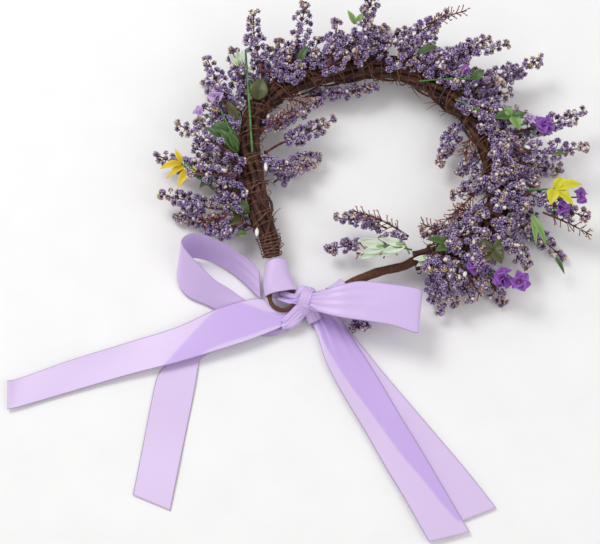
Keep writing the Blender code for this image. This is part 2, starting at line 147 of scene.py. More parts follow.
class Finish:
    """A material under construction, with its Principled shader."""

    def __init__(self, name, constants):
        self.material = bpy.data.materials.new(name)
        self.material.use_nodes = True
        self.tree = self.material.node_tree
        self.shader = self.tree.nodes["Principled BSDF"]
        for socket, value in constants.items():
            self.shader.inputs[socket].default_value = value

    def node(self, kind, settings, inputs, output=0):
        """Any node: its settings are set first, then its inputs are filled or linked."""
        made = self.tree.nodes.new(kind)
        for name, value in settings.items():
            if name == "stops":
                self.set_stops(made.color_ramp, value)
            else:
                setattr(made, name, value)
        for name, value in inputs.items():
            if isinstance(value, Value):
                self.tree.links.new(value.socket, made.inputs[name])
            else:
                made.inputs[name].default_value = value
        return Value(self, made.outputs[output])

    def set_stops(self, ramp, stops):
        while len(ramp.elements) < len(stops):
            ramp.elements.new(0.5)
        for element, (place, colour) in zip(ramp.elements, stops):
            element.position = place
            element.color = (*colour, 1)

    def drive(self, socket, value):
        self.tree.links.new(value.socket, self.shader.inputs[socket])

    def object_place(self):
        return self.node("ShaderNodeTexCoord", {}, {}, "Object")

    def stretched(self, place, scale):
        """A place with each direction stretched, for grain and fibres."""
        return self.node("ShaderNodeVectorMath", {"operation": "MULTIPLY"}, {0: place, 1: scale})

    def noise(self, place, scale, detail=3.0, rough=0.55):
        return self.node("ShaderNodeTexNoise", {}, {"Vector": place, "Scale": scale,
                                                    "Detail": detail, "Roughness": rough})

    def ramp(self, value, *stops):
        return self.node("ShaderNodeValToRGB", {"stops": stops}, {0: value})

    def mix(self, share, first, second):
        """Mixes two colours; a plain colour is given as three numbers."""
        first, second = [colour if isinstance(colour, Value) else (*colour, 1)
                         for colour in (first, second)]
        return self.node("ShaderNodeMix", {"data_type": "RGBA"},
                         {"Factor": share, 6: first, 7: second}, 2)

    def bump(self, height, distance, strength=1.0):
        """Relief whose height of one is the distance, in metres."""
        relief = self.node("ShaderNodeBump", {}, {"Height": height, "Distance": distance,
                                                  "Strength": strength})
        self.drive("Normal", relief)


# %% [markdown]
# The table is stage, not object. Its finish is nearly white with the faintest mottling, so
# that the shadows stay soft and pale.

# %% Table
def table_finish():
    table = Finish("pale_table", {"Roughness": 0.9})
    mottle = table.noise(table.object_place(), 30.0)
    table.drive("Base Color", table.ramp(mottle, (0.3, (0.93, 0.93, 0.93)), (0.7, (0.96, 0.96, 0.96))))
    return table.material


def add_table():
    bpy.ops.mesh.primitive_plane_add(size=6.0, location=(0, 0, -0.0004))
    table = bpy.context.object
    table.name = "table"
    table.data.materials.append(table_finish())


add_table()

# %% [markdown]
# ## The finishes
# The satin is smooth plastic thread, so it has a soft gloss, a sheen and a woven edge that is
# a little duller and thicker. Its UV map runs 0 to 1 across the ribbon and in millimetres
# along it, which lets the threads follow every fold. Two layers of ribbon let less light
# through than one, and that is painted in as painted shade: the lists below mark where a strip
# lies over another one, and there the satin is painted a darker lilac.

# %% Satin
SATIN_LIGHT = (0.76, 0.62, 0.88)
SATIN_MAIN = (0.69, 0.535, 0.84)
# painted shade: the darker lilac where ribbon lies on ribbon
SATIN_LAYER_SHADE = (0.56, 0.385, 0.82)
SATIN_EDGE = (0.42, 0.33, 0.52)
SELVEDGE_SHARE = 0.022            # of the ribbon's width


def satin_finish():
    satin = Finish("lilac_satin", {"Roughness": 0.36, "Sheen Weight": 0.35, "Sheen Roughness": 0.3,
                                   "Anisotropic": 0.45, "Specular IOR Level": 0.45})
    uv = satin.node("ShaderNodeTexCoord", {}, {}, "UV")
    across = satin.node("ShaderNodeSeparateXYZ", {}, {0: uv}, 0)
    threads = satin.noise(satin.stretched(uv, (90.0, 0.35, 1.0)), 1.0, 2.0)
    weft = satin.noise(satin.stretched(uv, (4.0, 5.0, 1.0)), 1.0, 1.0)
    # the painted shade of layered ribbon, stored on the mesh as an attribute
    doubled = satin.node("ShaderNodeAttribute", {"attribute_name": "doubled"}, {}, "Fac")
    from_middle = satin.node("ShaderNodeMath", {"operation": "ABSOLUTE"}, {0: across - 0.5})
    selvedge = from_middle > (0.5 - SELVEDGE_SHARE)
    cloth = satin.mix(threads, SATIN_MAIN, SATIN_LIGHT)
    layer_shaded = satin.mix(doubled * 0.8, cloth, SATIN_LAYER_SHADE)
    satin.drive("Base Color", satin.mix(selvedge * 0.75, layer_shaded, SATIN_EDGE))
    satin.drive("Roughness", 0.3 + 0.12 * threads + 0.2 * selvedge)
    satin.bump(threads * 0.4 + weft * 0.3 + selvedge * 1.0, 0.06 * MM, 0.5)
    return satin.material


SATIN = satin_finish()

# %% [markdown]
# Bark, crepe tape and binding wire are all brown. What tells them apart is grain: long fibres
# and splits on the vine, fine cross creases on the tape, and a smooth thin wire.

# %% Bark, tape and wire
def bark_finish(name, dark, warm, grain_scale):
    bark = Finish(name, {"Specular IOR Level": 0.35})
    uv = bark.node("ShaderNodeTexCoord", {}, {}, "UV")
    fibres = bark.noise(bark.stretched(uv, (7.0, 0.12, 1.0)), grain_scale, 6.0, 0.65)
    patches = bark.noise(bark.object_place(), 110.0, 3.0)
    colour = bark.mix(bark.ramp(fibres, (0.35, (0, 0, 0)), (0.68, (1, 1, 1))), dark, warm)
    shade = tuple(0.45 * c for c in dark)
    bark.drive("Base Color", bark.mix(bark.ramp(patches, (0.42, (0, 0, 0)), (0.7, (1, 1, 1))),
                                      colour, shade))
    bark.drive("Roughness", 0.8 - 0.3 * fibres)
    bark.bump(fibres * 1.0 + patches * 0.4, 0.5 * MM, 0.9)
    return bark.material


def tape_finish():
    tape = Finish("crepe_tape", {"Specular IOR Level": 0.3})
    uv = tape.node("ShaderNodeTexCoord", {}, {}, "UV")
    creases = tape.noise(tape.stretched(uv, (1.2, 2.2, 1.0)), 1.0, 5.0, 0.7)
    tape.drive("Base Color", tape.ramp(creases, (0.3, (0.055, 0.02, 0.011)),
                                       (0.75, (0.21, 0.085, 0.045))))
    tape.drive("Roughness", 0.75 - 0.2 * creases)
    tape.bump(creases, 0.35 * MM, 0.9)
    return tape.material


def wire_finish():
    wire = Finish("binding_wire", {"Specular IOR Level": 0.5})
    scuffs = wire.noise(wire.object_place(), 900.0, 2.0)
    wire.drive("Base Color", wire.ramp(scuffs, (0.35, (0.10, 0.04, 0.022)),
                                       (0.7, (0.30, 0.14, 0.08))))
    wire.drive("Roughness", 0.35 + 0.25 * scuffs)
    return wire.material


BARK = bark_finish("vine_bark", (0.032, 0.013, 0.010), (0.20, 0.075, 0.042), 1.0)
TAPE = tape_finish()
WIRE = wire_finish()

# %% [markdown]
# The lavender is made of thousands of small foam granules. Each granule is an island of its
# own in the mesh, and Random Per Island gives every one a slightly different lilac, the way
# real granules catch the dye. A near-black violet core fills the gaps between them: its dark colour is
# painted shade for the hollows between granules.

# %% Granules, tips, cores and twigs
def granule_finish(name, shades, roughness):
    granule = Finish(name, {"Specular IOR Level": 0.4})
    island = granule.node("ShaderNodeNewGeometry", {}, {}, "Random Per Island")
    mottle = granule.noise(granule.object_place(), 260.0, 2.0)
    stops = [(k / (len(shades) - 1), shade) for k, shade in enumerate(shades)]
    granule.drive("Base Color", granule.ramp(island * 0.75 + mottle * 0.3 - 0.03, *stops))
    granule.drive("Roughness", roughness + 0.2 * mottle)
    return granule.material


LILAC = granule_finish("lilac_granules", ((0.10, 0.055, 0.16), (0.27, 0.18, 0.41),
                                          (0.44, 0.33, 0.58), (0.80, 0.70, 0.83)), 0.3)
CREAM = granule_finish("cream_beads", ((0.62, 0.50, 0.34), (0.85, 0.76, 0.60),
                                       (0.92, 0.88, 0.80)), 0.3)
TIPS = granule_finish("straw_tips", ((0.42, 0.27, 0.10), (0.68, 0.52, 0.28),
                                     (0.60, 0.42, 0.55)), 0.45)


def plain_grained(name, dark, light, scale, roughness, relief):
    """A moulded plastic finish with a fine grain."""
    finish = Finish(name, {"Specular IOR Level": 0.4})
    grain = finish.noise(finish.object_place(), scale, 4.0)
    finish.drive("Base Color", finish.ramp(grain, (0.35, dark), (0.7, light)))
    finish.drive("Roughness", roughness + 0.2 * grain)
    finish.bump(grain, relief, 0.6)
    return finish.material


# a near-black core whose colour is painted shade for the gaps between granules
GAP_SHADE_CORE = plain_grained("violet_core_gap_shade", (0.022, 0.010, 0.022), (0.09, 0.05, 0.10), 700.0, 0.6, 0.2 * MM)
TWIG = plain_grained("red_twig", (0.055, 0.015, 0.012), (0.24, 0.075, 0.06), 400.0, 0.45, 0.15 * MM)

# %% [markdown]
# Leaves are moulded plastic with a darker heart and paler rim. The blossoms use the same
# recipe with other colours. The UV map of a leaf runs from foot to tip and from rim to rim.

# %% Leaves and blossoms
def leaf_finish(name, heart, rim, gloss):
    leaf = Finish(name, {"Specular IOR Level": 0.5})
    uv = leaf.node("ShaderNodeTexCoord", {}, {}, "UV")
    across = leaf.node("ShaderNodeSeparateXYZ", {}, {0: uv}, 1)
    off_rib = leaf.node("ShaderNodeMath", {"operation": "ABSOLUTE"}, {0: across - 0.5}) * 2.0
    veins = leaf.noise(leaf.stretched(uv, (14.0, 3.0, 1.0)), 1.0, 2.0)
    blotches = leaf.noise(leaf.object_place(), 180.0, 3.0)
    leaf.drive("Base Color", leaf.mix(off_rib * 0.55 + blotches * 0.5 - 0.1, heart, rim))
    leaf.drive("Roughness", gloss + 0.25 * blotches)
    leaf.bump(veins * 0.6 + off_rib * 0.8, 0.3 * MM, 0.6)
    return leaf.material


LEAF = leaf_finish("dark_leaf", (0.018, 0.060, 0.012), (0.10, 0.19, 0.035), 0.3)
OLIVE = leaf_finish("olive_leaf", (0.035, 0.035, 0.008), (0.12, 0.14, 0.03), 0.3)
FRESH = leaf_finish("fresh_leaf", (0.09, 0.22, 0.04), (0.34, 0.50, 0.18), 0.35)
YELLOW = leaf_finish("yellow_petal", (0.66, 0.42, 0.01), (0.90, 0.72, 0.02), 0.35)
YELLOW_GREEN = leaf_finish("yellow_green_petal", (0.50, 0.46, 0.01), (0.82, 0.74, 0.03), 0.35)
VIOLET = leaf_finish("violet_petal", (0.16, 0.03, 0.30), (0.42, 0.16, 0.60), 0.45)
MAUVE = leaf_finish("mauve_petal", (0.42, 0.25, 0.55), (0.68, 0.52, 0.78), 0.5)
WHITE = leaf_finish("white_petal", (0.55, 0.70, 0.48), (0.90, 0.93, 0.88), 0.45)
GLOSS = plain_grained("gloss_bead", (0.80, 0.80, 0.78), (0.93, 0.93, 0.90), 300.0, 0.08, 0.02 * MM)
STALK = plain_grained("green_stalk", (0.04, 0.15, 0.03), (0.14, 0.36, 0.09), 500.0, 0.4, 0.1 * MM)

# %% [markdown]
# ## Shapes that many pieces share
# `spline` draws one smooth curve through given points. `Pile` gathers many small
# shapes into a single mesh, with a UV for each point, because thousands of separate objects
# would be slow. A `tube` carries its ring along the path without twisting it.

# %% Curves
def spline(points, places):
    """A Catmull-Rom curve through the points, read at fractional places."""
    points = np.asarray(points, float)
    first, last = 2 * points[0] - points[1], 2 * points[-1] - points[-2]
    padded = np.vstack([first, points, last])
    k = np.clip(places.astype(int), 0, len(points) - 2)
    f = (places - k)[:, None]
    a, b, c, d = padded[k], padded[k + 1], padded[k + 2], padded[k + 3]
    return 0.5 * (2 * b + (c - a) * f + (2 * a - 5 * b + 4 * c - d) * f ** 2
                  + (3 * b - a - 3 * c + d) * f ** 3)


def even_curve(points, step, measure=slice(0, 3)):
    """The spline again, read at even steps of length along the measured columns."""
    fine = spline(points, np.linspace(0, len(points) - 1, 40 * len(points)))
    lengths = np.linalg.norm(np.diff(fine[:, measure], axis=0), axis=1)
    along = np.concatenate([[0], np.cumsum(lengths)])
    count = max(int(along[-1] / step), 3)
    wanted = np.linspace(0, along[-1], count)
    columns = [np.interp(wanted, along, column) for column in fine.T]
    return np.array(columns).T, wanted


def unit(v):
    v = np.asarray(v, float)
    return v / np.linalg.norm(v, axis=-1, keepdims=True)


# %% Pile
SQUEEZED = 5.0 * MM               # a piece that would sink into the table is pressed in up to here
TABLE_CLEARANCE = 0.05 * MM


def above_table(points):
    """A spike that droops too low rests on the table: its lowest part is pressed upwards."""
    lowest = points[:, 2].min()
    if lowest < 0:
        low = points[:, 2] < SQUEEZED
        share = (points[low, 2] - lowest) / (SQUEEZED - lowest)
        points[low, 2] = TABLE_CLEARANCE * (1 - share) + SQUEEZED * share
    return points


class Pile:
    """Many small shapes gathered into one mesh."""

    def __init__(self):
        self.points, self.uvs, self.faces, self.slots = [], [], [], []
        self.count = 0

    def add(self, points, faces, slot=0, uv=None):
        """Adds points and one table of equally long faces."""
        points = np.asarray(points, float).reshape(-1, 3)
        self.points.append(points)
        self.uvs.append(np.zeros((len(points), 2)) if uv is None else uv)
        self.add_faces(faces, slot, self.count)
        self.count += len(points)

    def add_faces(self, faces, slot, start):
        faces = np.asarray(faces)
        self.faces.append(faces + start)
        self.slots.append(np.full(len(faces), slot))

    def tube(self, path, radius, sides=8, slot=0):
        """A closed tube along a path; the radius may change along it."""
        path = np.asarray(path, float)
        radius = np.broadcast_to(radius, (len(path),))[:, None, None]
        forward = unit(np.gradient(path, axis=0))
        side = np.zeros_like(path)
        guess = np.array([0.0, 0.0, 1.0]) if abs(forward[0, 2]) < 0.9 else np.array([1.0, 0, 0])
        side[0] = unit(np.cross(forward[0], guess))
        for k in range(1, len(path)):
            carried = side[k - 1] - forward[k] * np.dot(side[k - 1], forward[k])
            side[k] = unit(carried)
        other = np.cross(forward, side)
        turn = np.linspace(0, 2 * np.pi, sides, endpoint=False)
        ring = (np.cos(turn)[None, :, None] * side[:, None] + np.sin(turn)[None, :, None] * other[:, None])
        points = (path[:, None] + ring * radius).reshape(-1, 3)
        steps = np.concatenate([[0], np.cumsum(np.linalg.norm(np.diff(path, axis=0), axis=1))]) / MM
        round_share = np.abs(turn / np.pi - 1)       # falls to 0 half way round, so no seam
        uv = np.stack(np.broadcast_arrays(round_share[None, :], steps[:, None]), -1).reshape(-1, 2)
        k, n = np.meshgrid(np.arange(len(path) - 1), np.arange(sides), indexing="ij")
        after = (n + 1) % sides
        quads = np.stack([k * sides + n, k * sides + after, (k + 1) * sides + after,
                          (k + 1) * sides + n], -1).reshape(-1, 4)
        start = self.count
        self.add(points, quads, slot, uv)
        self.add_faces([np.arange(sides)[::-1]], slot, start)
        self.add_faces([np.arange(sides) + (len(path) - 1) * sides], slot, start)

    def sheet(self, grid, thickness, slot=0, uv=None):
        """A thin closed solid around a grid of points, rows by columns."""
        rows, columns = grid.shape[:2]
        normal = unit(np.cross(np.gradient(grid, axis=0), np.gradient(grid, axis=1)) + 1e-12)
        thickness = np.broadcast_to(thickness, (rows, columns))[..., None]
        both = np.stack([grid + normal * thickness / 2, grid - normal * thickness / 2])
        if uv is None:
            row_share, column_share = np.meshgrid(np.linspace(0, 1, rows),
                                                  np.linspace(0, 1, columns), indexing="ij")
            uv = np.stack([row_share, column_share], -1)
        k, n = np.meshgrid(np.arange(rows - 1), np.arange(columns - 1), indexing="ij")
        corner = (k * columns + n).ravel()
        top = np.stack([corner, corner + columns, corner + columns + 1, corner + 1], -1)
        rim = np.concatenate([np.arange(columns - 1), np.arange(rows - 1) * columns + columns - 1,
                              (rows * columns - 1) - np.arange(columns - 1),
                              (np.arange(rows - 1, 0, -1)) * columns])
        following = np.roll(rim, -1)
        under = rows * columns
        wall = np.stack([rim, following, following + under, rim + under], -1)
        self.add(both, np.concatenate([top, top[:, ::-1] + under, wall]), slot,
                 np.concatenate([uv.reshape(-1, 2)] * 2))

    def make(self, name, materials):
        """The finished object, shaded smooth."""
        corners = np.concatenate([faces.ravel() for faces in self.faces])
        widths = np.concatenate([np.full(len(faces), faces.shape[1]) for faces in self.faces])
        mesh = bpy.data.meshes.new(name)
        mesh.vertices.add(self.count)
        mesh.vertices.foreach_set("co", above_table(np.concatenate(self.points)).ravel())
        mesh.loops.add(len(corners))
        mesh.loops.foreach_set("vertex_index", corners)
        mesh.polygons.add(len(widths))
        mesh.polygons.foreach_set("loop_start", np.concatenate([[0], np.cumsum(widths)[:-1]]))
        for material in materials:
            mesh.materials.append(material)
        mesh.polygons.foreach_set("material_index", np.concatenate(self.slots))
        layer = mesh.uv_layers.new(name="along")
        layer.data.foreach_set("uv", np.concatenate(self.uvs)[corners].ravel())
        mesh.update(calc_edges=True)
        mesh.shade_smooth()
        made = bpy.data.objects.new(name, mesh)
        bpy.context.scene.collection.objects.link(made)
        return made


def settle(piece, body, slot, *nodes):
    """Lets a piece ride on a body, in place of the frame's nodes. The slot is not used."""
    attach(piece, body)
    if nodes:
        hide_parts(*nodes)
    return piece


# %% [markdown]
# ## The line of the hoop
# Everything on the crown is placed from the middle line of the hoop. The frame's core wire is
# a tube on exactly that line: its points fall into rings, and the middle of each ring is a
# point of the line. The same reading gives the line of each vine.

# %% Read the hoop from the frame
START_TURN = 235.0                # degrees, in the gap at the back of the crown
RING_GAP = 2.2                    # degrees between one ring of points and the next
POINTS_PER_TURN = 14              # along a path that winds round the hoop


def ring_middles(node):
    """The middle of each ring of a tube that runs clockwise round the crown."""
    points = np.array([vertex.co for vertex in frame["nodes"][node].data.vertices])
    turn = (START_TURN - np.degrees(np.arctan2(points[:, 1], points[:, 0]))) % 360
    order = np.argsort(turn)
    cuts = np.where(np.diff(turn[order]) > RING_GAP)[0] + 1
    return np.array([np.unique(points[ring].round(6), axis=0).mean(axis=0)
                     for ring in np.split(order, cuts)])


HOOP_LINE, HOOP_STEPS = even_curve(ring_middles("wire_core"), 1.0 * MM)
HOOP_LENGTH = HOOP_STEPS[-1]
HOOP_FORWARD = unit(np.gradient(HOOP_LINE, axis=0))
print("hoop line", len(HOOP_LINE), "points,", round(HOOP_LENGTH, 4), "m")


def narrowed(station):
    """The bundle is pulled in where the ribbon grips its left end."""
    return 1 - 0.34 * np.clip(1 - np.asarray(station) / 0.07, 0, 1) ** 1.5


def hoop_at(station):
    """Middle, direction forward and direction out at a share of the hoop's length."""
    k = int(np.clip(station, 0, 1) * (len(HOOP_LINE) - 1))
    forward = HOOP_FORWARD[k]
    out = unit([-forward[1], forward[0], 0])
    return HOOP_LINE[k], forward, out


def beside_hoop(station, out, along, up):
    """A place in millimetres from the hoop's line: outwards, forwards and up."""
    middle, forward, outward = hoop_at(station)
    level = unit([forward[0], forward[1], 0])
    return middle + (outward * out + level * along + np.array([0, 0, up])) * MM


def wound(station_from, station_to, turns, radius, start=0.0, points_per_mm=0.4):
    """A path wound round the hoop's line at a radius, which may change along it."""
    count = int(abs(station_to - station_from) * HOOP_LENGTH / MM * points_per_mm) + 2
    count = max(count, int(abs(turns) * POINTS_PER_TURN))
    stations = np.linspace(station_from, station_to, count)
    radius = np.broadcast_to(radius, (count,)) * MM * narrowed(stations)
    path = []
    for station, turn, reach in zip(stations, start + np.linspace(0, turns, count), radius):
        middle, forward, out = hoop_at(station)
        up = np.cross(out, forward)
        up = up if up[2] > 0 else -up
        path.append(middle + (out * math.cos(2 * math.pi * turn)
                              + up * math.sin(2 * math.pi * turn)) * reach)
    return np.array(path)


# %% [markdown]
# ## Vines
# The hoop is laid up like a rope: six vines turn slowly round a core. Real vine isn't a clean
# rod, so the radius swells and shrinks along it and the bark shows long fibres. Thin runners
# lie over the bundle at other angles, as they do where a real vine has side shoots.

# %% Vines and runners
VINE_RADIUS = 2.2 * MM
rng = np.random.default_rng(12)


def uneven(count, amount, spacing, source):
    """Smooth random swelling: one plus or minus the amount, over a spacing in points."""
    knots = source.uniform(-1, 1, count // spacing + 4)
    places = np.arange(count) / spacing
    return 1 + amount * np.interp(places, np.arange(len(knots)), knots)


def make_vine(number):
    node = f"vine_{number}"
    path, _ = even_curve(ring_middles(node), 1.6 * MM)
    count = len(path)
    nearest = np.linalg.norm(path[:, None] - HOOP_LINE[None], axis=2).argmin(axis=1)
    pull = narrowed(nearest / (len(HOOP_LINE) - 1))
    path = HOOP_LINE[nearest] + (path - HOOP_LINE[nearest]) * pull[:, None]
    drift = np.array([uneven(count, 1.0, 7, rng) - 1 for _ in range(3)]).T * 0.35 * MM
    radius = VINE_RADIUS * uneven(count, 0.16, 5, rng) * uneven(count, 0.08, 2, rng) * pull ** 0.5
    pile = Pile()
    pile.tube(path + drift, radius, sides=12)
    return settle(pile.make(node + "_bark", [BARK]), "hoop", "vine_bark", node)


for number in range(1, 7):
    make_vine(number)

RUNNERS = (
    # from, to, turns, radius, first turn, thickness in mm
    (0.01, 0.52, 2.6, 8.0, 0.10, 0.9), (0.05, 0.47, -2.0, 8.2, 0.45, 0.8),
    (0.20, 0.75, 3.1, 8.2, 0.30, 1.0), (0.38, 0.97, -2.8, 8.0, 0.70, 0.8),
    (0.55, 0.99, 2.4, 8.3, 0.20, 0.9), (0.62, 0.98, -1.6, 8.4, 0.85, 1.1),
    (0.00, 0.22, 1.2, 8.2, 0.60, 0.7), (0.25, 0.62, -1.7, 8.5, 0.05, 0.7),
)


def make_runners():
    pile = Pile()
    for begin, end, turns, reach, first, thick in RUNNERS:
        count = int((end - begin) * HOOP_LENGTH / MM * 0.4) + 2
        count = max(count, int(abs(turns) * POINTS_PER_TURN))
        path = wound(begin, end, turns, reach * uneven(count, 0.10, 6, rng), first)
        ends = np.minimum(1, np.minimum(np.arange(count), np.arange(count)[::-1]) / 6 + 0.25)
        pile.tube(path, thick * MM * uneven(count, 0.25, 4, rng) * ends, sides=7)
    return settle(pile.make("vine_runners", [BARK]), "hoop", "vine_bark")


make_runners()

# %% [markdown]
# ## Binding wire
# One thin wire winds round the bundle with a turn about every 20 mm, and a finer one every
# few millimetres. Each pulls tight against the vines, so its radius follows the bundle. At
# the left end the fine wire is finished off with a few close turns and loose loops.

# %% Binding wires
BINDING_RADIUS = 9.0              # mm from the hoop's line
COIL_LOOPS = 3                    # loose loops at the left end
FINE_TURNS = 58


def make_binding():
    pile = Pile()
    pile.tube(wound(0.0, 1.0, 20, BINDING_RADIUS - 0.3), 0.42 * MM, sides=6)
    return settle(pile.make("binding_wire_turns", [WIRE]), "hoop", "binding_wire", "binding_wire")


def make_fine_binding():
    pile = Pile()
    count = FINE_TURNS * POINTS_PER_TURN
    radii = BINDING_RADIUS * uneven(count, 0.05, 9, rng)
    pile.tube(wound(0.015, 0.985, FINE_TURNS, radii), 0.24 * MM, sides=5)
    pile.tube(wound(0.0, 0.035, 7, BINDING_RADIUS + 0.3), 0.32 * MM, sides=5)
    for k in range(COIL_LOOPS):
        middle, forward, out = hoop_at(0.004 + 0.011 * k)
        up = np.array([0, 0, 1.0])
        turn = np.linspace(0, 2 * math.pi, 15)
        reach = (1.1 + 0.3 * (k % 3)) * MM
        side = -0.75 if k % 2 else -0.6
        centre = middle + out * side * (BINDING_RADIUS + 0.4) * MM + up * 2 * MM
        across = up * 0.8 + forward * 0.5
        loop = centre + (np.cos(turn)[:, None] * out + np.sin(turn)[:, None] * across) * reach
        pile.tube(loop, 0.28 * MM, sides=5)
    return settle(pile.make("fine_binding", [WIRE]), "hoop", "binding_wire")


make_binding()
make_fine_binding()

# %% [markdown]
# ## Wire eyes and the taped bar
# Each end of the hoop is a wire bent into an eye and wrapped with crepe tape. On the right, a
# long taped bar joins the bundle to its eye. Wound tape overlaps itself, so its edge makes a
# low step at every turn: here the radius rises and drops as the tape goes round.

# %% Eyes and bar
KNOT = np.array(next(joint["pos_m"] for joint in frame["joints"] if joint["name"] == "bow_swing"))
EYE_RADIUS = 1.35 * MM
BAR_RADIUS = 2.9 * MM
TAPE_PITCH = 5.0 * MM             # along the bar, from one turn of tape to the next

# Middle line of each eye: millimetres from the knot, and height above the table
LEFT_EYE = ((-20, 18, 10), (-23, 8, 9.3), (-24, 2.2, 9), (-21.3, -3.2, 9), (-16.3, -5.8, 9),
            (-11.2, -4.4, 9), (-8.2, 0.6, 9), (-9.8, 6.5, 9.2), (-13.5, 18, 10))
RIGHT_EYE = ((15.5, 5.2, 9), (11, 5.8, 9), (7.4, 3.6, 9), (6.8, -0.6, 9), (10, -3, 9),
             (14.5, -1.6, 9))
TAPE_BOW = ((0.14, 0.0, -1.2), (0.45, 2.8, -0.8), (0.76, 2.7, -0.6))
BAR_END = (17.5, 5.8, 9)


def from_knot(x, y, z):
    """A place in millimetres from the knot in plan, with its own height above the table."""
    return np.array([KNOT[0] + x * MM, KNOT[1] + y * MM, z * MM])


def taped(path, steps, radius, seed):
    """Radii of a tape-wound wire: a low step at each turn, and small lumps."""
    source = np.random.default_rng(seed)
    step = 0.12 * MM * (1 - (steps / TAPE_PITCH) % 1)
    return radius * uneven(len(path), 0.06, 4, source) + step


def make_eye(node, places, seed):
    path, steps = even_curve([from_knot(*place) for place in places], 0.7 * MM)
    pile = Pile()
    pile.tube(path, taped(path, steps, EYE_RADIUS, seed), sides=12)
    return settle(pile.make(node + "_wire", [TAPE]), "hoop", "paper_tape", node)


def make_bar():
    start = HOOP_LINE[-1] + HOOP_FORWARD[-1] * 0.8 * MM
    end = from_knot(*BAR_END)
    bows = [start + (end - start) * share + np.array([0, side, up]) * MM for share, side, up in TAPE_BOW]
    path, steps = even_curve([start - HOOP_FORWARD[-1] * 5 * MM, start, *bows, end], 0.8 * MM)
    pile = Pile()
    pile.tube(path, taped(path, steps, BAR_RADIUS, 5), sides=16)
    return settle(pile.make("taped_bar", [TAPE]), "hoop", "paper_tape", "right_end_tape")


make_eye("left_eye", LEFT_EYE, 3)
make_eye("right_eye", RIGHT_EYE, 4)
make_bar()

# %% [markdown]
# ## Ribbon strips
# A ribbon can't stretch, so it is drawn by its two edges: pairs of points, from the knot
# outwards, joined by smooth curves. Between the edges lies a fine grid of points. Small
# moves along the grid's normals add what a flat strip lacks: pleats where the knot gathers
# it, and slow waves along it. Its length is that of the modelled middle line, so the area
# check is on the width.

# %% Ribbon grids
CLOTH = 0.3 * MM
COLUMNS = 33


def ribbon_grid(pairs, step=1.1 * MM):
    """A grid between two smooth edges, and how far along the ribbon each row is, in mm."""
    first = np.array([from_knot(*a) for a, _ in pairs])
    second = np.array([from_knot(*b) for _, b in pairs])
    rows, along = even_curve(np.hstack([(first + second) / 2, first, second]), step)
    share = np.linspace(0, 1, COLUMNS)[None, :, None]
    grid = rows[:, None, 3:6] * (1 - share) + rows[:, None, 6:9] * share
    return grid, along / MM


def moved(grid, height):
    """The grid moved along its normals by a height for each point, in millimetres."""
    normal = unit(np.cross(np.gradient(grid, axis=0), np.gradient(grid, axis=1)) + 1e-12)
    if normal[..., 2].mean() < 0:
        normal = -normal
    return grid + normal * height[..., None] * MM


def creases(count, steps, source):
    """An uneven zigzag from -1 to 1: the section of gathered cloth, softened a little."""
    places = np.cumsum(source.uniform(0.6, 1.4, 2 * count + 1))
    places = (places - places[0]) / (places[-1] - places[0])
    heights = source.uniform(0.45, 1.0, 2 * count + 1) * np.where(np.arange(2 * count + 1) % 2, 1, -1)
    fine = np.interp(np.linspace(0, 1, steps), places, heights)
    return np.convolve(np.pad(fine, 1, mode="edge"), (0.25, 0.5, 0.25), mode="valid")


def gathered(along, height, reach, count, seed):
    """Pleats that spring from the knot and fade with the distance from it."""
    source = np.random.default_rng(seed)
    section = creases(count, COLUMNS, source)
    return height * np.exp(-along[:, None] / reach) * section[None, :]


def waves(along, height, length, phase=0.0):
    """Slow waves along the ribbon that lift one edge and then the other."""
    share = np.linspace(-1, 1, COLUMNS)[None, :]
    return height * (1 + share * np.sin(2 * math.pi * along[:, None] / length + phase)) / 2


def outline_of(grid):
    return np.vstack([grid[:, 0, :2], grid[::-1, -1, :2]])


def depth_inside(points, outline):
    """How far each plan point lies inside an outline; outside, the distance is negative."""
    start, end = outline, np.roll(outline, -1, axis=0)
    x, y = points[:, 0, None], points[:, 1, None]
    crossing = (start[:, 1] > y) != (end[:, 1] > y)
    rise = np.where(end[:, 1] == start[:, 1], 1, end[:, 1] - start[:, 1])
    left = x < (end[:, 0] - start[:, 0]) * (y - start[:, 1]) / rise + start[:, 0]
    inside = (crossing & left).sum(axis=1) % 2 == 1
    edge = end - start
    offset = points[:, None] - start[None]
    share = np.clip((offset * edge).sum(-1) / ((edge ** 2).sum(-1) + 1e-12), 0, 1)
    distance = np.linalg.norm(offset - share[..., None] * edge, axis=-1).min(axis=1)
    return np.where(inside, distance, -distance)


def mark_layer_shade(piece, plan, base, below):
    """Stores painted shade for each point, from how much ribbon lies behind it: 0 for one layer on the pale
    table.
    """
    depth = np.full(len(plan), float(base))
    for other in below:
        soft = np.clip(depth_inside(plan, outline_of(other)) / (1.6 * MM) + 0.5, 0, 1)
        depth = np.maximum(depth, soft)
    layer = piece.data.attributes.new("doubled", "FLOAT", "POINT")
    layer.data.foreach_set("value", depth)


def make_ribbon(name, node, body, grid, along, base=0.0, below=()):
    """One strip of ribbon; the grids below it mark where it is two layers deep and is painted darker as
    shade.
    """
    share = np.linspace(0, 1, COLUMNS)
    uv = np.stack(np.broadcast_arrays(share[None, :], along[:, None]), -1)
    pile = Pile()
    pile.sheet(grid, CLOTH, uv=uv)
    ribbon = settle(pile.make(name, [SATIN]), body, "satin_ribbon", node)
    mark_layer_shade(ribbon, np.concatenate(pile.points)[:, :2], base, below)
    print(name, "is", round(float(along[-1])), "mm long")
    return ribbon


# %% [markdown]
# ### The four tails
# Two ribbons tied in one bow leave four tails. They lie on the table over each other, so
# each has its own height: the lowest starts on the table, and the top one slopes down to it.

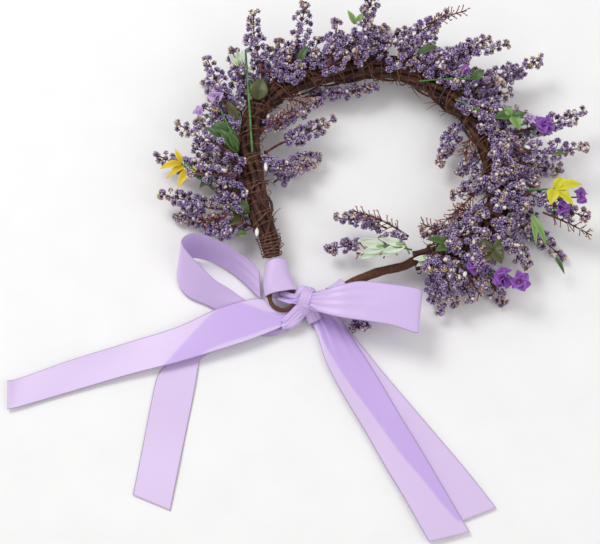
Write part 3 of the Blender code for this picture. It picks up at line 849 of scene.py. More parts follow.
# %% Tails
# Pairs of edge points from the knot: x and y in millimetres. Tail A also has heights
TAIL_A = (((-3, -1.5, 7.0), (-0.5, -8, 6.6)), ((-9, -3.4, 7.1), (-7.5, -12.3, 6.8)),
          ((-16, -5.8, 7.1), (-15, -16, 6.9)), ((-22.5, -2.2, 7.0), (-20.5, -18.8, 6.9)),
          ((-28.5, 2.6, 6.9), (-27.5, -22, 6.9)), ((-38, 2.4, 6.9), (-38, -26.5, 6.9)),
          ((-59, -4.9, 6.8), (-59, -33.5, 6.7)), ((-82, -16, 5.8), (-84, -41, 5.4)),
          ((-112.5, -25.5, 3.6), (-114, -48.5, 3.1)), ((-150, -38, 2.8), (-152, -60, 2.0)),
          ((-180, -49.5, 2.6), (-180, -69, 1.9)), ((-189, -52.5, 4.4), (-188, -71, 1.9)))
TAIL_B = (((-4, -3), (-1, -8)), ((-14, -7), (-12, -14)), ((-26, -6), (-25, -18)),
          ((-38, -1), (-37.5, -23)), ((-48, 0.5), (-50, -27)), ((-59.2, -6.1), (-60, -31)),
          ((-70.4, -17.9), (-66.5, -35)), ((-80.2, -29.5), (-68.6, -39)), ((-88, -38.8), (-69.4, -44.5)),
          ((-92.8, -44), (-70.2, -51)), ((-95.6, -50.5), (-71.2, -58.5)), ((-97.6, -62), (-73, -70)),
          ((-99.9, -77.1), (-75.4, -84)), ((-107.3, -126.4), (-84, -136.4)))
TAIL_C = (((-1, -5), (5, -3)), ((1.7, -8), (15, -4)), ((4, -14), (22, -10.5)),
          ((6.8, -21.8), (26.8, -19)), ((10.8, -36.3), (32.5, -29)), ((15.9, -48.5), (37.9, -37.8)),
          ((24.9, -66), (46.9, -54)), ((35.8, -85.4), (57.8, -75)), ((47.5, -107.7), (69.5, -96.2)),
          ((59, -128.6), (81, -117.6)), ((73.6, -157), (98.6, -150.5)))
TAIL_D = (((0, -6), (5, -5)), ((4.5, -13), (14, -8)), ((8.9, -22.4), (25, -15.5)),
          ((16, -35.8), (34.5, -27)), ((26.1, -53.5), (46, -42.7)), ((38.1, -70.9), (58.6, -59.2)),
          ((48, -86), (68.7, -72.2)), ((59.7, -103.1), (80.3, -87.3)), ((71.4, -117.8), (92, -102.4)),
          ((82.8, -133.4), (104, -118.4)), ((92, -144.2), (115.6, -134.8)))


def lying(pairs, height):
    return [((*a, height), (*b, height)) for a, b in pairs]


grid_b, along_b = ribbon_grid(lying(TAIL_B, 0.3))
grid_b = moved(grid_b, waves(along_b, 0.5, 70))
grid_d, along_d = ribbon_grid(lying(TAIL_D, 1.4))
grid_d = moved(grid_d, gathered(along_d, 0.35, 16, 3, 51) + waves(along_d, 0.35, 110, 1.0))
grid_c, along_c = ribbon_grid(lying(TAIL_C, 2.7))
grid_c = moved(grid_c, gathered(along_c, 0.9, 20, 4, 52) + waves(along_c, 0.9, 120, 2.0))
grid_a, along_a = ribbon_grid(TAIL_A)
grid_a = moved(grid_a, gathered(along_a, 0.55, 16, 4, 53) + waves(along_a, 0.5, 90))

make_ribbon("ribbon_tail_b", "tail_b", "tail_b", grid_b, along_b)
make_ribbon("ribbon_tail_d", "tail_d", "tail_d", grid_d, along_d)
# C and A are painted darker as shade where D and B lie beneath them
make_ribbon("ribbon_tail_c", "tail_c", "tail_c", grid_c, along_c, below=[grid_d])
make_ribbon("ribbon_tail_a", "tail_a", "tail_a", grid_a, along_a, below=[grid_b])

# %% [markdown]
# ### The two loops
# A loop is one length of ribbon that leaves the knot, turns over and comes back. The left
# loop stands on one edge and leans back, so that its hole shows from above. The right loop
# lies flat, with its turn at the far end.

# %% Loops
LOOP_LEFT = (((-3, -4, 6.4), (-3, -9, 5.6)), ((-12, -8, 5.4), (-13, -18, 3.6)),
             ((-25, -2, 4.9), (-28, -21, 2.2)), ((-37.5, 1.6, 5.6), (-45, -14, 1.8)),
             ((-50.2, 8.5, 11), (-57.5, -3.5, 1.8)), ((-60.2, 13.7, 15), (-65, 1, 1.8)),
             ((-70.3, 22.5, 20), (-76.5, 6.5, 2)), ((-77.4, 29.9, 22.3), (-83, 15, 2)),
             ((-80.5, 36, 23.5), (-84.3, 27, 2)), ((-76.8, 39.8, 25), (-80.5, 33.5, 2.2)),
             ((-69.2, 40.9, 25), (-71.4, 34, 2.5)), ((-56.5, 36, 24), (-59.7, 30.3, 2.3)),
             ((-43.9, 30.2, 19), (-48.1, 23, 2)), ((-36, 26, 14.5), (-38.5, 14, 2.2)),
             ((-30.6, 21, 10), (-30.2, 4, 4.8)))
LOOP_RIGHT = (((3, 3, 15.4), (3, -4, 13.2)), ((11, 5, 16), (10, -9, 13.5)),
              ((28, 5.5, 17.5), (25, -14, 15)), ((50, 3, 19), (48, -17.5, 17)),
              ((66, 1, 21.5), (63, -22.5, 19.5)), ((72.6, 0, 25), (69.5, -26.5, 22.5)),
              ((69, 0.8, 28.5), (67, -28.6, 25.5)), ((54, 3.2, 29), (53.7, -23.8, 25.5)),
              ((34, 5.8, 28), (37, -20.2, 24.5)), ((20, 3.6, 26), (20.3, -16.8, 23)),
              ((10.5, 2.4, 22), (8, -12, 20)), ((3, 1.5, 18.4), (1.5, -6.5, 16.5)))


def make_loop(name, node, pairs, height, count, seed):
    grid, along = ribbon_grid(pairs)
    relief = (gathered(along, height, 13, count, seed)
              + gathered(along[-1] - along, height, 15, count, seed + 1))
    # the whole loop gets painted shade, a darker lilac
    return make_ribbon(name, node, "bow", moved(grid, relief), along, base=0.45)


make_loop("ribbon_loop_left", "bow_loop_left", LOOP_LEFT, 0.35, 3, 61)
make_loop("ribbon_loop_right", "bow_loop_right", LOOP_RIGHT, 0.8, 4, 63)

# %% [markdown]
# ### Hitches and knot
# At each end the ribbon is looped round the eye in a half hitch: a tight sleeve of satin.
# The left one widens from the bundle towards the eye. The knot is one turn of ribbon pulled over the gathered
# strips. Its folds are deep, so they are modelled: ridges that run over a flattened band,
# with smaller lobes where the strips come out from under it.

# %% Hitches
LEFT_HITCH = (((-20.4, 26, 12.4), 6.4, 6.6), ((-19.6, 19, 11.5), 8.2, 6.2),
              ((-18.6, 12, 10.8), 9.6, 4.9), ((-16.3, 5.2, 9.6), 10.4, 4.4))
RIGHT_HITCH = (((24.3, 10.8, 9.2), 5.6, 5.2), ((20, 7.6, 9), 5.6, 4.4), ((15.8, 4.4, 9), 6.2, 3.4))


def make_hitch(node, sections, direction, wrinkles):
    """A sleeve of ribbon: its rings run round, and its edges are the two open ends."""
    rows, along = even_curve([[*centre, wide, high] for centre, wide, high in sections], 0.6)
    across = unit([-direction[1], direction[0], 0])
    turn = np.linspace(-0.5 * math.pi - 0.1, 1.5 * math.pi + 0.1, 64)
    grid = []
    for k, (x, y, z, wide, high) in enumerate(rows):
        share = k / (len(rows) - 1)
        crease = wrinkles * (0.3 + share) * np.sin(5 * turn + 4 * share)
        centre = from_knot(x, y, z)
        grid.append(centre + (np.cos(turn) * (wide + crease))[:, None] * across * MM
                    + (np.sin(turn) * (high + crease))[:, None] * np.array([0, 0, 1]) * MM)
    grid = np.array(grid)
    round_steps = np.linspace(0, 2 * math.pi * sections[0][1], len(turn))
    uv = np.stack(np.broadcast_arrays(np.linspace(0, 1, len(rows))[:, None], round_steps[None, :]), -1)
    pile = Pile()
    pile.sheet(grid, CLOTH * 1.5, uv=uv)
    hitch = settle(pile.make("ribbon_" + node, [SATIN]), "hoop", "satin_ribbon", node)
    # painted shade over the whole hitch
    mark_layer_shade(hitch, np.concatenate(pile.points)[:, :2], 0.25, ())
    return hitch


make_hitch("left_hitch", LEFT_HITCH, (0.2, -1), 0.16)
make_hitch("right_hitch", RIGHT_HITCH, (-0.8, -0.6), 0.22)

# %% Knot
def fold_band(pile, places, widths, bulge, depth, count, seed):
    """A gathered band of ribbon along a path, arched across and creased lengthwise."""
    source = np.random.default_rng(seed)
    rows, along = even_curve([[*from_knot(x, y, z), wide * MM] for (x, y, z), wide in zip(places, widths)],
                             0.5 * MM)
    path, wide = rows[:, :3], rows[:, 3]
    forward = unit(np.gradient(path, axis=0))
    middle = path.mean(axis=0) - np.array([0, 0, 2 * MM])
    outward = path - middle
    outward -= forward * (outward * forward).sum(axis=1, keepdims=True)
    outward = unit(outward)
    side = np.cross(forward, outward)
    columns = 41
    share = np.linspace(-1, 1, columns)
    first, last = creases(count, columns, source), creases(count, columns, source)
    blend = np.linspace(0, 1, len(path))[:, None]
    section = first * (1 - blend) + last * blend
    reach = 1 - 0.12 * share ** 2
    grid = (path[:, None] + side[:, None] * (wide[:, None] / 2 * share)[..., None]
            + outward[:, None] * (bulge * wide[:, None] * (np.sqrt(np.clip(1 - share ** 2, 0, 1)) - 1)
                                  + depth * MM * section * reach)[..., None])
    uv = np.stack(np.broadcast_arrays(np.linspace(0.06, 0.94, columns)[None, :], along[:, None] / MM), -1)
    pile.sheet(grid, CLOTH * 1.3, uv=uv)


# Bands of the knot: places from the knot, widths in mm, bulge, crease depth, creases, seed
KNOT_BANDS = (
    # the turn over the knot, from its far upper side down to its near lower side
    (((3.5, 7.5, 9.5), (3.0, 6.8, 14), (1.2, 2.5, 18.2), (-1.2, -3.5, 17.6), (-3.2, -8.2, 12.5),
      (-3.6, -9.4, 8.6)), (9, 10, 10.5, 10, 9, 7), 0.42, 0.55, 5, 71),
    # the lobe at the upper left, where the ribbon comes up out of the eye
    (((-8.2, 1.5, 9.8), (-6.6, 4.4, 12.2), (-3.6, 7.8, 13.6), (0.6, 8.4, 13), (3.5, 6.5, 11.5)),
     (4.5, 6.0, 6.5, 6.0, 4), 0.45, 0.35, 3, 72),
    # the gathered neck of the right loop
    (((2.5, -3.5, 15.5), (6, -4.2, 17.6), (9.5, -4.8, 19.6)), (9, 11, 13), 0.15, 0.6, 4, 73),
    # gathers that fan out on to the left tail
    (((-1.5, -3.5, 13.5), (-5.5, -7.0, 12), (-10, -11, 9.6), (-15, -15.2, 8.4)), (7.5, 8.5, 8.5, 6),
     0.28, 0.75, 4, 74),
    # the small fold under them
    (((-2.5, -8.5, 10), (-6.5, -12.4, 9.2), (-11, -15.6, 8.2), (-16, -17.6, 7.9)), (5, 5.5, 5, 3),
     0.35, 0.3, 2, 75),
    # the gathers of the right tails, under the knot
    (((2.5, -5.5, 12), (3.5, -8.5, 9.5), (5.5, -12, 5.2)), (7, 8.5, 9.5), 0.2, 0.5, 4, 76),
)


def make_knot():
    pile = Pile()
    for places, widths, bulge, depth, count, seed in KNOT_BANDS:
        fold_band(pile, places, widths, bulge, depth, count, seed)
    core = [from_knot(1.5, 6, 11), from_knot(0.8, 0, 13), from_knot(-1, -6, 11.5)]
    pile.tube(even_curve(core, 1 * MM)[0], 4.6 * MM, 24)
    knot = settle(pile.make("ribbon_knot", [SATIN]), "bow", "satin_ribbon", "bow_knot")
    # painted shade over the whole knot
    mark_layer_shade(knot, np.concatenate(pile.points)[:, :2], 0.45, ())
    return knot


def make_eye_strands():
    """Two twists of ribbon that pass through the left eye on their way to the knot."""
    pile = Pile()
    fold_band(pile, ((-17, 6.8, 8.6), (-13.5, 5.2, 10.2), (-9, 3.2, 11), (-4.5, 2.0, 12)),
              (3.2, 3.6, 4.4, 5), 0.5, 0.35, 2, 81)
    fold_band(pile, ((-19, 2.6, 8.4), (-15, 1.0, 9.2), (-10, -0.6, 10.4), (-4.5, -1.0, 11.5)),
              (2.2, 3.0, 4.0, 5), 0.5, 0.35, 2, 82)
    strands = settle(pile.make("eye_strands", [SATIN]), "bow", "satin_ribbon")
    # the strands are painted fully darker as shade
    mark_layer_shade(strands, np.concatenate(pile.points)[:, :2], 1.0, ())
    return strands


make_knot()
make_eye_strands()

# %% [markdown]
# ## Lavender spikes
# A spike is a red-brown twig with whorls of short side twigs, and each side twig ends in a
# clump of granules. So the code builds it the same way: rows along the twig, three or four
# clumps to a row, granules spread evenly over each clump, and none where two clumps meet.
# Straw-coloured tips and a few cream beads break up the lilac.

# %% A granule, and clumps of granules
import bmesh


def round_ball():
    """Points and faces of the smallest round ball that Blender makes."""
    bm = bmesh.new()
    bmesh.ops.create_icosphere(bm, subdivisions=1, radius=1.0)
    points = np.array([vertex.co for vertex in bm.verts])
    faces = np.array([[vertex.index for vertex in face.verts] for face in bm.faces])
    bm.free()
    return points, faces


BALL_POINTS, BALL_FACES = round_ball()
GOLDEN_TURN = math.pi * (3 - math.sqrt(5))


def even_directions(count, source):
    """Directions spread evenly over a ball, from a turn of their own."""
    k = np.arange(count) + 0.5
    height = 1 - 2 * k / count
    turn = GOLDEN_TURN * k + source.uniform(0, 6.28)
    flat = np.sqrt(1 - height ** 2)
    directions = np.stack([flat * np.cos(turn), flat * np.sin(turn), height], -1)
    return directions + source.normal(0, 0.07, directions.shape)


def scatter(pile, centres, radii, slot, source):
    """A ball at each centre, each turned its own way and slightly out of round."""
    count = len(centres)
    if count == 0:
        return
    x, y, z, w = unit(source.normal(size=(count, 4))).T
    turned = np.stack([1 - 2 * (y * y + z * z), 2 * (x * y - z * w), 2 * (x * z + y * w),
                       2 * (x * y + z * w), 1 - 2 * (x * x + z * z), 2 * (y * z - x * w),
                       2 * (x * z - y * w), 2 * (y * z + x * w), 1 - 2 * (x * x + y * y)],
                      -1).reshape(count, 3, 3)
    stretch = source.uniform(0.85, 1.15, (count, 1, 3))
    balls = np.einsum("nij,nvj->nvi", turned, BALL_POINTS[None] * stretch)
    points = balls * np.asarray(radii)[:, None, None] + np.asarray(centres)[:, None]
    faces = BALL_FACES[None] + (np.arange(count) * len(BALL_POINTS))[:, None, None]
    pile.add(points, faces.reshape(-1, 3), slot)


# %% One spike
GRANULE = 0.66 * MM               # radius
ROW_STEP = 4.4 * MM
HIDDEN_SIDE = -0.55               # granules that face the twig more than this are left out
SPIKE_SLOTS = {"lilac": 0, "cream": 1, "tip": 2, "core": 3, "twig": 4}
SPIKE_FINISHES = [LILAC, CREAM, TIPS, GAP_SHADE_CORE, TWIG]


def spike_reach(share):
    """How far the clumps stand from the twig: fullest near the foot, slim at the tip."""
    return 4.1 * MM * (0.55 + 0.75 * math.sin(math.pi * min(share * 0.8 + 0.22, 1.0)))


def grow_spike(pile, base, tip, source, girth=1.0):
    """A whole spike from its foot to its tip."""
    base, tip = np.asarray(base, float), np.asarray(tip, float)
    length = np.linalg.norm(tip - base)
    forward = (tip - base) / length
    side = unit(np.cross(forward, [0.02, 0.01, 1.0]))
    up = np.cross(side, forward)
    bow = (side * source.uniform(-1, 1) + up * source.uniform(-1, 1)) * 0.05 * length

    def twig_at(share):
        return base + forward * length * share + bow * math.sin(math.pi * share)

    pile.tube([twig_at(s) for s in np.linspace(-0.08, 0.98, 9)], np.linspace(0.75, 0.35, 9) * MM, 5,
              SPIKE_SLOTS["twig"])
    centres, radii, shares = [], [], []
    rows = max(4, round(length / ROW_STEP))
    for row in range(rows):
        share = (row + 0.35) / rows
        around = 4 if share < 0.7 else 3
        first = source.uniform(0, 6.28)
        for k in range(around):
            turn = first + 2 * math.pi * k / around + source.uniform(-0.35, 0.35)
            reach = spike_reach(share) * girth * source.uniform(0.65, 1.2)
            centre = (twig_at(share) + (side * math.cos(turn) + up * math.sin(turn)) * reach
                      + forward * source.uniform(0.5, 3.2) * MM)
            if source.uniform() < 0.10:
                continue
            centres.append(centre)
            radii.append(source.uniform(1.7, 2.6) * MM * (1 - 0.3 * share))
            shares.append(share)
            pile.tube([twig_at(share - 0.02), (twig_at(share) + centre) / 2 + forward * 0.4 * MM, centre],
                      0.26 * MM, 4, SPIKE_SLOTS["twig"])
    centres.append(twig_at(0.99))
    radii.append(1.5 * MM)
    shares.append(1.0)
    centres, radii, shares = np.array(centres), np.array(radii), np.array(shares)
    # a dark core under each clump: painted shade in the gaps between granules
    scatter(pile, centres, radii * 0.80, SPIKE_SLOTS["core"], source)
    roots = np.array([twig_at(share) for share in shares])
    cover_clumps(pile, centres, unit(centres - roots + forward * 1e-4), radii, shares, source)


def cover_clumps(pile, centres, outwards, radii, shares, source):
    """Granules over every clump, except where it meets another one or faces its twig."""
    places, clump = [], []
    for k, (centre, radius) in enumerate(zip(centres, radii)):
        directions = even_directions(int(2.9 * (radius / GRANULE) ** 2), source)
        directions = directions[directions @ outwards[k] > HIDDEN_SIDE]
        count = len(directions)
        places.append(centre + directions * (radius * source.uniform(0.88, 1.1, (count, 1))))
        clump += [k] * count
    places, clump = np.concatenate(places), np.array(clump)
    distance = np.linalg.norm(places[:, None] - centres[None], axis=2)
    distance[np.arange(len(places)), clump] = 1.0
    kept = (distance > radii[None] * 0.92).all(axis=1)
    places, clump = places[kept], clump[kept]
    share = shares[clump]
    draw = source.uniform(0, 1, len(places))
    tip = draw < np.clip((share - 0.45) * 0.8, 0.03, 0.4)
    cream = (draw > 0.965) & ~tip
    size = GRANULE * source.uniform(0.75, 1.15, len(places))
    scatter(pile, places[tip], size[tip] * 1.05, SPIKE_SLOTS["tip"], source)
    cream_size = size[cream] * source.uniform(1.3, 2.0, cream.sum())
    scatter(pile, places[cream], cream_size, SPIKE_SLOTS["cream"], source)
    plain = ~(tip | cream)
    scatter(pile, places[plain], size[plain], SPIKE_SLOTS["lilac"], source)


# %% [markdown]
# The frame holds one plain solid for each of the main spikes. Its longest direction gives the
# spike's line, and the end nearer to the hoop is the foot.

# %% Main spikes
def line_of_head(node):
    points = np.array([vertex.co for vertex in frame["nodes"][node].data.vertices])
    middle = points.mean(axis=0)
    long_way = np.linalg.svd(points - middle)[2][0]
    reach = (points - middle) @ long_way
    ends = [points[reach.argmin()], points[reach.argmax()]]
    return sorted(ends, key=lambda end: np.linalg.norm(HOOP_LINE - end, axis=1).min())


spike_source = np.random.default_rng(7)
heads = sorted(node for node in frame["nodes"] if node.startswith("lavender_"))
faces = 0
for node in heads:
    foot, tip = line_of_head(node)
    pile = Pile()
    grow_spike(pile, foot, tip, spike_source)
    spike = settle(pile.make(node.replace("lavender", "spike"), SPIKE_FINISHES), "hoop",
                   "lavender_granules", node)
    faces += len(spike.data.polygons)
print(len(heads), "main spikes with", faces, "faces")

# %% [markdown]
# Between the main spikes the crown is filled with shorter ones. Some stand at places of their
# own, about half of them inside the hoop. The rest follow a rule along the hoop: the angle round
# the bundle goes through a short list, and each leans the way that the sprigs are wired on.

# %% Filling spikes
# Station on the hoop, foot and tip as (out, along, up) in mm, and girth
PLACED = (
    (0.231, (8, 20, 3), (22, 53, 5), 0.9), (0.325, (15, 6, -7), (38, 15, -5), 0.9),
    (0.534, (5, -8, 21), (37, 13, 27), 0.95), (0.534, (4, 12, 17), (32, 45, 25), 0.95),
    (0.534, (25, 2, -5), (42, 5, -1), 0.8), (0.621, (36, 8, -7), (51, 15, -5), 0.8),
    (0.83, (10, 21, 5), (30, 34, -7), 0.9), (0.926, (8, 23, -5), (34, 28, -9), 0.9),
    (0.926, (11, 8, -1), (34, 7, -7), 0.9), (0.186, (-16, -19, -9), (-41, -8, -7), 0.9),
    (0.639, (-6, 8, -7), (-38, 23, -5), 0.85), (0.325, (-8, 14, -11), (-26, 57, -5), 0.7),
    (0.62, (-10, 52, -9), (-32, 50, -3), 0.75), (0.986, (-26, 22, 2), (-36, 52, 4), 0.65),
    (0.986, (-18, 38, 0), (-18, 60, -2), 0.6), (0.986, (-10, 11, 13), (-14, 27, 11), 0.75),
    (0.807, (-8, -4, 4), (-30, 6, 4), 0.8), (0.86, (-8, 2, 6), (-26, 22, 8), 0.8),
    (0.90, (-8, 4, 4), (-24, 26, 6), 0.85), (0.74, (-8, -4, 0), (-24, 4, -6), 0.75),
    (0.45, (22, 6, 20), (44, 18, 24), 0.8), (0.20, (-6, -14, 0), (-30, -22, 2), 0.75),
    (0.245, (-8, -6, 2), (-40, 22, 6), 0.8), (1.0, (32, 34, -6), (38, 47, -6), 0.7),
)
# Stretches of the hoop: from, to, spikes, angles round the bundle, reach out, lean along, rise
STRETCHES = (
    (0.06, 0.30, 17, (-30, 15, 50, 0), 25, 16, 5),
    (0.29, 0.56, 24, (15, 70, 35, 95, -10), 15, 15, 6),
    (0.56, 0.78, 25, (-20, 60, 25, 100, 10, 80), 20, 11, 6),
    (0.78, 0.985, 26, (-15, 50, 95, 20, 125, 70), 17, -2, 5),
)
BUNDLE_SURFACE = 10.0             # mm from the hoop's line


def make_placed():
    for k, (station, foot, tip, girth) in enumerate(PLACED):
        pile = Pile()
        grow_spike(pile, beside_hoop(station, *foot), beside_hoop(station, *tip), spike_source, girth)
        settle(pile.make(f"placed_spike_{k + 1}", SPIKE_FINISHES), "hoop", "lavender_granules")


def make_filling():
    number = 0
    for begin, end, count, angles, reach, lean, rise in STRETCHES:
        for k in range(count):
            number += 1
            station = begin + (end - begin) * (k + spike_source.uniform(0.2, 0.8)) / count
            angle = math.radians(angles[k % len(angles)] + spike_source.uniform(-12, 12))
            out, up = math.cos(angle), math.sin(angle)
            foot = (BUNDLE_SURFACE * out, 0, BUNDLE_SURFACE * up)
            long = spike_source.uniform(0.8, 1.2)
            tip = (foot[0] + reach * long * (0.35 + 0.65 * out), lean * long + spike_source.uniform(-5, 5),
                   foot[2] + rise * long * (0.4 + up))
            pile = Pile()
            grow_spike(pile, beside_hoop(station, *foot), beside_hoop(station, *tip), spike_source, 0.85)
            settle(pile.make(f"filling_spike_{number}", SPIKE_FINISHES), "hoop", "lavender_granules")
    print(number, "filling spikes")


make_placed()
make_filling()

# %% [markdown]
# ## Twigs
# Here and there a sprig has lost its granules and shows its bare twig: a curved stem with
# whorls of fine side shoots. The frame's own forked stems get the same finish.

# %% Bare twigs
for name, node in frame["nodes"].items():
    if name.startswith("stem_"):
        node.data.materials.clear()
        node.data.materials.append(TWIG)
core = frame["nodes"]["wire_core"]
core.data.materials.clear()
core.data.materials.append(WIRE)

BARE_TWIGS = (
    (1.0, (-14, 2, 8), (-32, 36, 20), 8), (0.807, (-12, -2, 3), (-38, 30, 9), 9),
    (1.0, (-8, 10, 3), (-8, 37, 7), 6), (0.828, (30, 2, 6), (64, 6, -4), 6),
    (0.534, (25, 2, 25), (44, 24, 27), 6), (0.20, (-8, 4, 8), (-30, 18, 12), 7),
    (0.30, (-9, 2, 4), (-24, 12, 6), 6), (0.087, (9, -4, 2), (40, -6, 4), 7),
    (0.70, (-9, 2, 6), (-20, 14, 10), 6), (0.86, (-9, 0, 6), (-24, 8, 10), 6),
    (0.94, (-8, 0, 8), (-20, 16, 12), 6), (0.93, (12, 4, 4), (34, -2, -4), 6),
)
RED_TIP = plain_grained("red_bud", (0.35, 0.08, 0.07), (0.72, 0.35, 0.30), 500.0, 0.5, 0.1 * MM)


def grow_twig(pile, base, tip, whorls, source):
    """A bare stem with whorls of short shoots, each with a bud at its end."""
    forward = unit(tip - base)
    length = np.linalg.norm(tip - base)
    side = unit(np.cross(forward, [0, 0.01, 1.0]))
    up = np.cross(side, forward)
    bow = (side * source.uniform(-1, 1) + up) * 0.06 * length
    stem = [base + forward * length * s + bow * math.sin(math.pi * s) for s in np.linspace(0, 1, 9)]
    pile.tube(stem, np.linspace(0.85, 0.4, 9) * MM, 6, 0)
    buds = []
    for k in range(whorls):
        share = 0.2 + 0.8 * k / whorls
        root = base + forward * length * share + bow * math.sin(math.pi * share)
        first = source.uniform(0, 6.28)
        for n in range(4):
            turn = first + n * math.pi / 2 + source.uniform(-0.4, 0.4)
            reach = source.uniform(3.5, 6.5) * MM * (1.1 - 0.4 * share)
            end = (root + (side * math.cos(turn) + up * math.sin(turn)) * reach
                   + forward * reach * source.uniform(0.5, 1.0))
            pile.tube([root, (root + end) / 2 + forward * 0.3 * MM, end], 0.3 * MM, 4, 0)
            buds.append(end)
    buds = np.array(buds)
    scatter(pile, buds, np.full(len(buds), 0.62 * MM), 1, source)
    straw = source.uniform(size=len(buds)) < 0.4
    scatter(pile, buds[straw] + forward * 0.8 * MM, np.full(straw.sum(), 0.6 * MM), 2, source)


def make_bare_twigs():
    source = np.random.default_rng(21)
    pile = Pile()
    for station, foot, tip, whorls in BARE_TWIGS:
        grow_twig(pile, beside_hoop(station, *foot), beside_hoop(station, *tip), whorls, source)
    return settle(pile.make("bare_twigs", [TWIG, RED_TIP, TIPS]), "hoop", "twig_plastic")


make_bare_twigs()


# %% Fine shoots
def make_fine_shoots():
    """Hair-thin side shoots all along the bundle, most of them on its outer half."""
    source = np.random.default_rng(41)
    pile = Pile()
    for _ in range(FINE_SHOOTS):
        station = source.uniform(0.05, 0.985)
        angle = math.radians(source.uniform(-40, 150) if source.uniform() < 0.8 else source.uniform(150, 320))
        out, up = math.cos(angle), math.sin(angle)
        length = source.uniform(4, 11)
        along = source.uniform(-9, 14)
        foot = beside_hoop(station, 7.5 * out, 0, 7.5 * up)
        tip = beside_hoop(station, (8 + length) * out, along, (8 + length * 0.7) * up)
        middle = (foot + tip) / 2 + source.normal(0, 0.9 * MM, 3)
        path = even_curve([foot, middle, tip], 2.0 * MM)[0]
        pile.tube(path, np.linspace(0.42, 0.16, len(path)) * MM, 4, 0)
    return settle(pile.make("fine_shoots", [TWIG]), "hoop", "twig_plastic")


FINE_SHOOTS = 260
make_fine_shoots()

# %% [markdown]
# ## Leaves, petals and beads
# A leaf is a small grid: narrow at its foot, widest before the middle and pointed at the tip.
# Its rims rise above the rib, and it arches between its foot and its tip. Petals are the same
# shape, shorter and more deeply cupped.

# %% Leaf and blossom shapes
def grow_leaf(pile, base, tip, width, slot, droop=0.12, cup=0.22, tilt=0.0, blunt=0.9):
    """A leaf from base to tip; the width and lengths are in metres, tilt in radians."""
    base, tip = np.asarray(base, float), np.asarray(tip, float)
    length = np.linalg.norm(tip - base)
    forward = (tip - base) / length
    side = unit(np.cross([0.01, 0.02, 1.0], forward))
    up = np.cross(forward, side)
    side, up = side * math.cos(tilt) + up * math.sin(tilt), up * math.cos(tilt) - side * math.sin(tilt)
    share = np.linspace(0, 1, 13)
    half = 0.5 * width * (np.sin(math.pi * share ** 0.8) ** blunt + 0.08 * (1 - share))
    across = np.linspace(-1, 1, 7)
    grid = (base + forward * (share * length)[:, None, None]
            + side * (half[:, None] * across)[..., None]
            + up * (cup * half[:, None] * np.abs(across) ** 1.3)[..., None]
            + up * (droop * length * np.sin(math.pi * share))[:, None, None])
    pile.sheet(grid, 0.35 * MM, slot)


def grow_blossom(pile, centre, facing, size, petals, slot, source):
    """A small cup of petals round a bead."""
    facing = unit(facing)
    side = unit(np.cross(facing, [0.3, 0.1, 0.9]))
    up = np.cross(facing, side)
    for k in range(petals):
        turn = 2 * math.pi * k / petals + source.uniform(-0.2, 0.2)
        outwards = side * math.cos(turn) + up * math.sin(turn)
        tip = centre + (outwards * 0.9 + facing * source.uniform(0.25, 0.7)) * size
        grow_leaf(pile, centre, tip, size * 0.95, slot, droop=0.2, cup=0.5,
                  tilt=source.uniform(-0.8, 0.8), blunt=0.55)


# %% Leaf sprays
GREENERY = [LEAF, OLIVE, FRESH, STALK]
# Station, foot, tip, width in mm, and which green
LEAVES = (
    (0.273, (1, -2, 9), (5, 12, 13), 12, 1), (0.177, (8, 0, 6), (28, 19, 11), 7, 0),
    (0.177, (8, -1, 7), (19, 15, 13), 7, 0), (0.177, (8, 1, 8), (13, 11, 15), 6, 0),
    (0.177, (9, 2, 6), (28, 11, 7), 5, 1), (0.072, (11, 0, 2), (29, -4, 4), 8, 1),
    (0.072, (9, 1, 3), (21, 9, 8), 7, 0), (0.072, (8, 1, 3), (12, 11, 9), 5, 0),
    (0.053, (13, 0, -3), (20, 0, -1), 5, 2), (0.110, (8, -2, 5), (22, 6, 8), 6, 0),
    (0.20, (8, 0, 7), (22, 6, 12), 6, 0), (0.215, (8, 4, 7), (18, 18, 13), 6, 1),
    (0.45, (20, 0, 24), (29, -4, 28), 4, 2), (0.45, (20, 1, 24), (26, 6, 28), 4, 2),
    (0.63, (12, 0, 17), (21, 1, 21), 7, 0), (0.707, (18, 0, 19), (6, -1, 21), 7, 0),
    (0.707, (18, 0, 19), (15, -6, 21), 6, 2), (0.707, (18, 0, 19), (18, 13, 21), 7, 2),
    (0.707, (18, 0, 19), (28, 6, 21), 5, 0),
    (0.841, (23, 0, 10), (38, 17, 7), 4.5, 2), (0.841, (24, 0, 10), (32, 20, 7), 3.5, 2),
    (0.866, (47, -3, -4), (57, 3, -8), 2.5, 0), (0.898, (16, 0, 12), (3, 11, 14), 8, 1),
    (0.898, (16, 0, 12), (26, 2, 11), 8, 1), (0.898, (16, 0, 12), (16, -11, 12), 7, 1),
    (0.898, (17, 2, 12), (16, 13, 9), 7, 1), (0.945, (-1, 0, 13), (-6, 15, 16), 6, 0),
    (0.945, (1, 0, 13), (3, 12, 15), 6, 0), (0.945, (-1, 1, 13), (-2, 10, 16), 5, 0),
    (0.54, (6, 0, 18), (15, 11, 21), 5, 0), (0.35, (6, 2, 12), (14, 13, 17), 5, 0),
    (0.762, (36, 0, 9), (46, 4, 10), 4, 2), (0.13, (10, 6, 4), (24, 13, 8), 5, 1),
)
STEMS = (                         # Station, foot, tip and radius in mm
    (0.304, (32, 0, 13), (-33, -40, 10), 0.75), (0.561, (-9, 0, 12), (7, 33, 18), 0.45),
    (0.639, (-6, 0, 15), (0, 17, 16), 0.6), (0.234, (20, 0, 13), (3, -26, 10), 0.5),
    (1.0, (-3, 2, 11), (-6, 20, 16), 0.6), (0.122, (26, 0, 5), (44, 17, 13), 0.6),
)


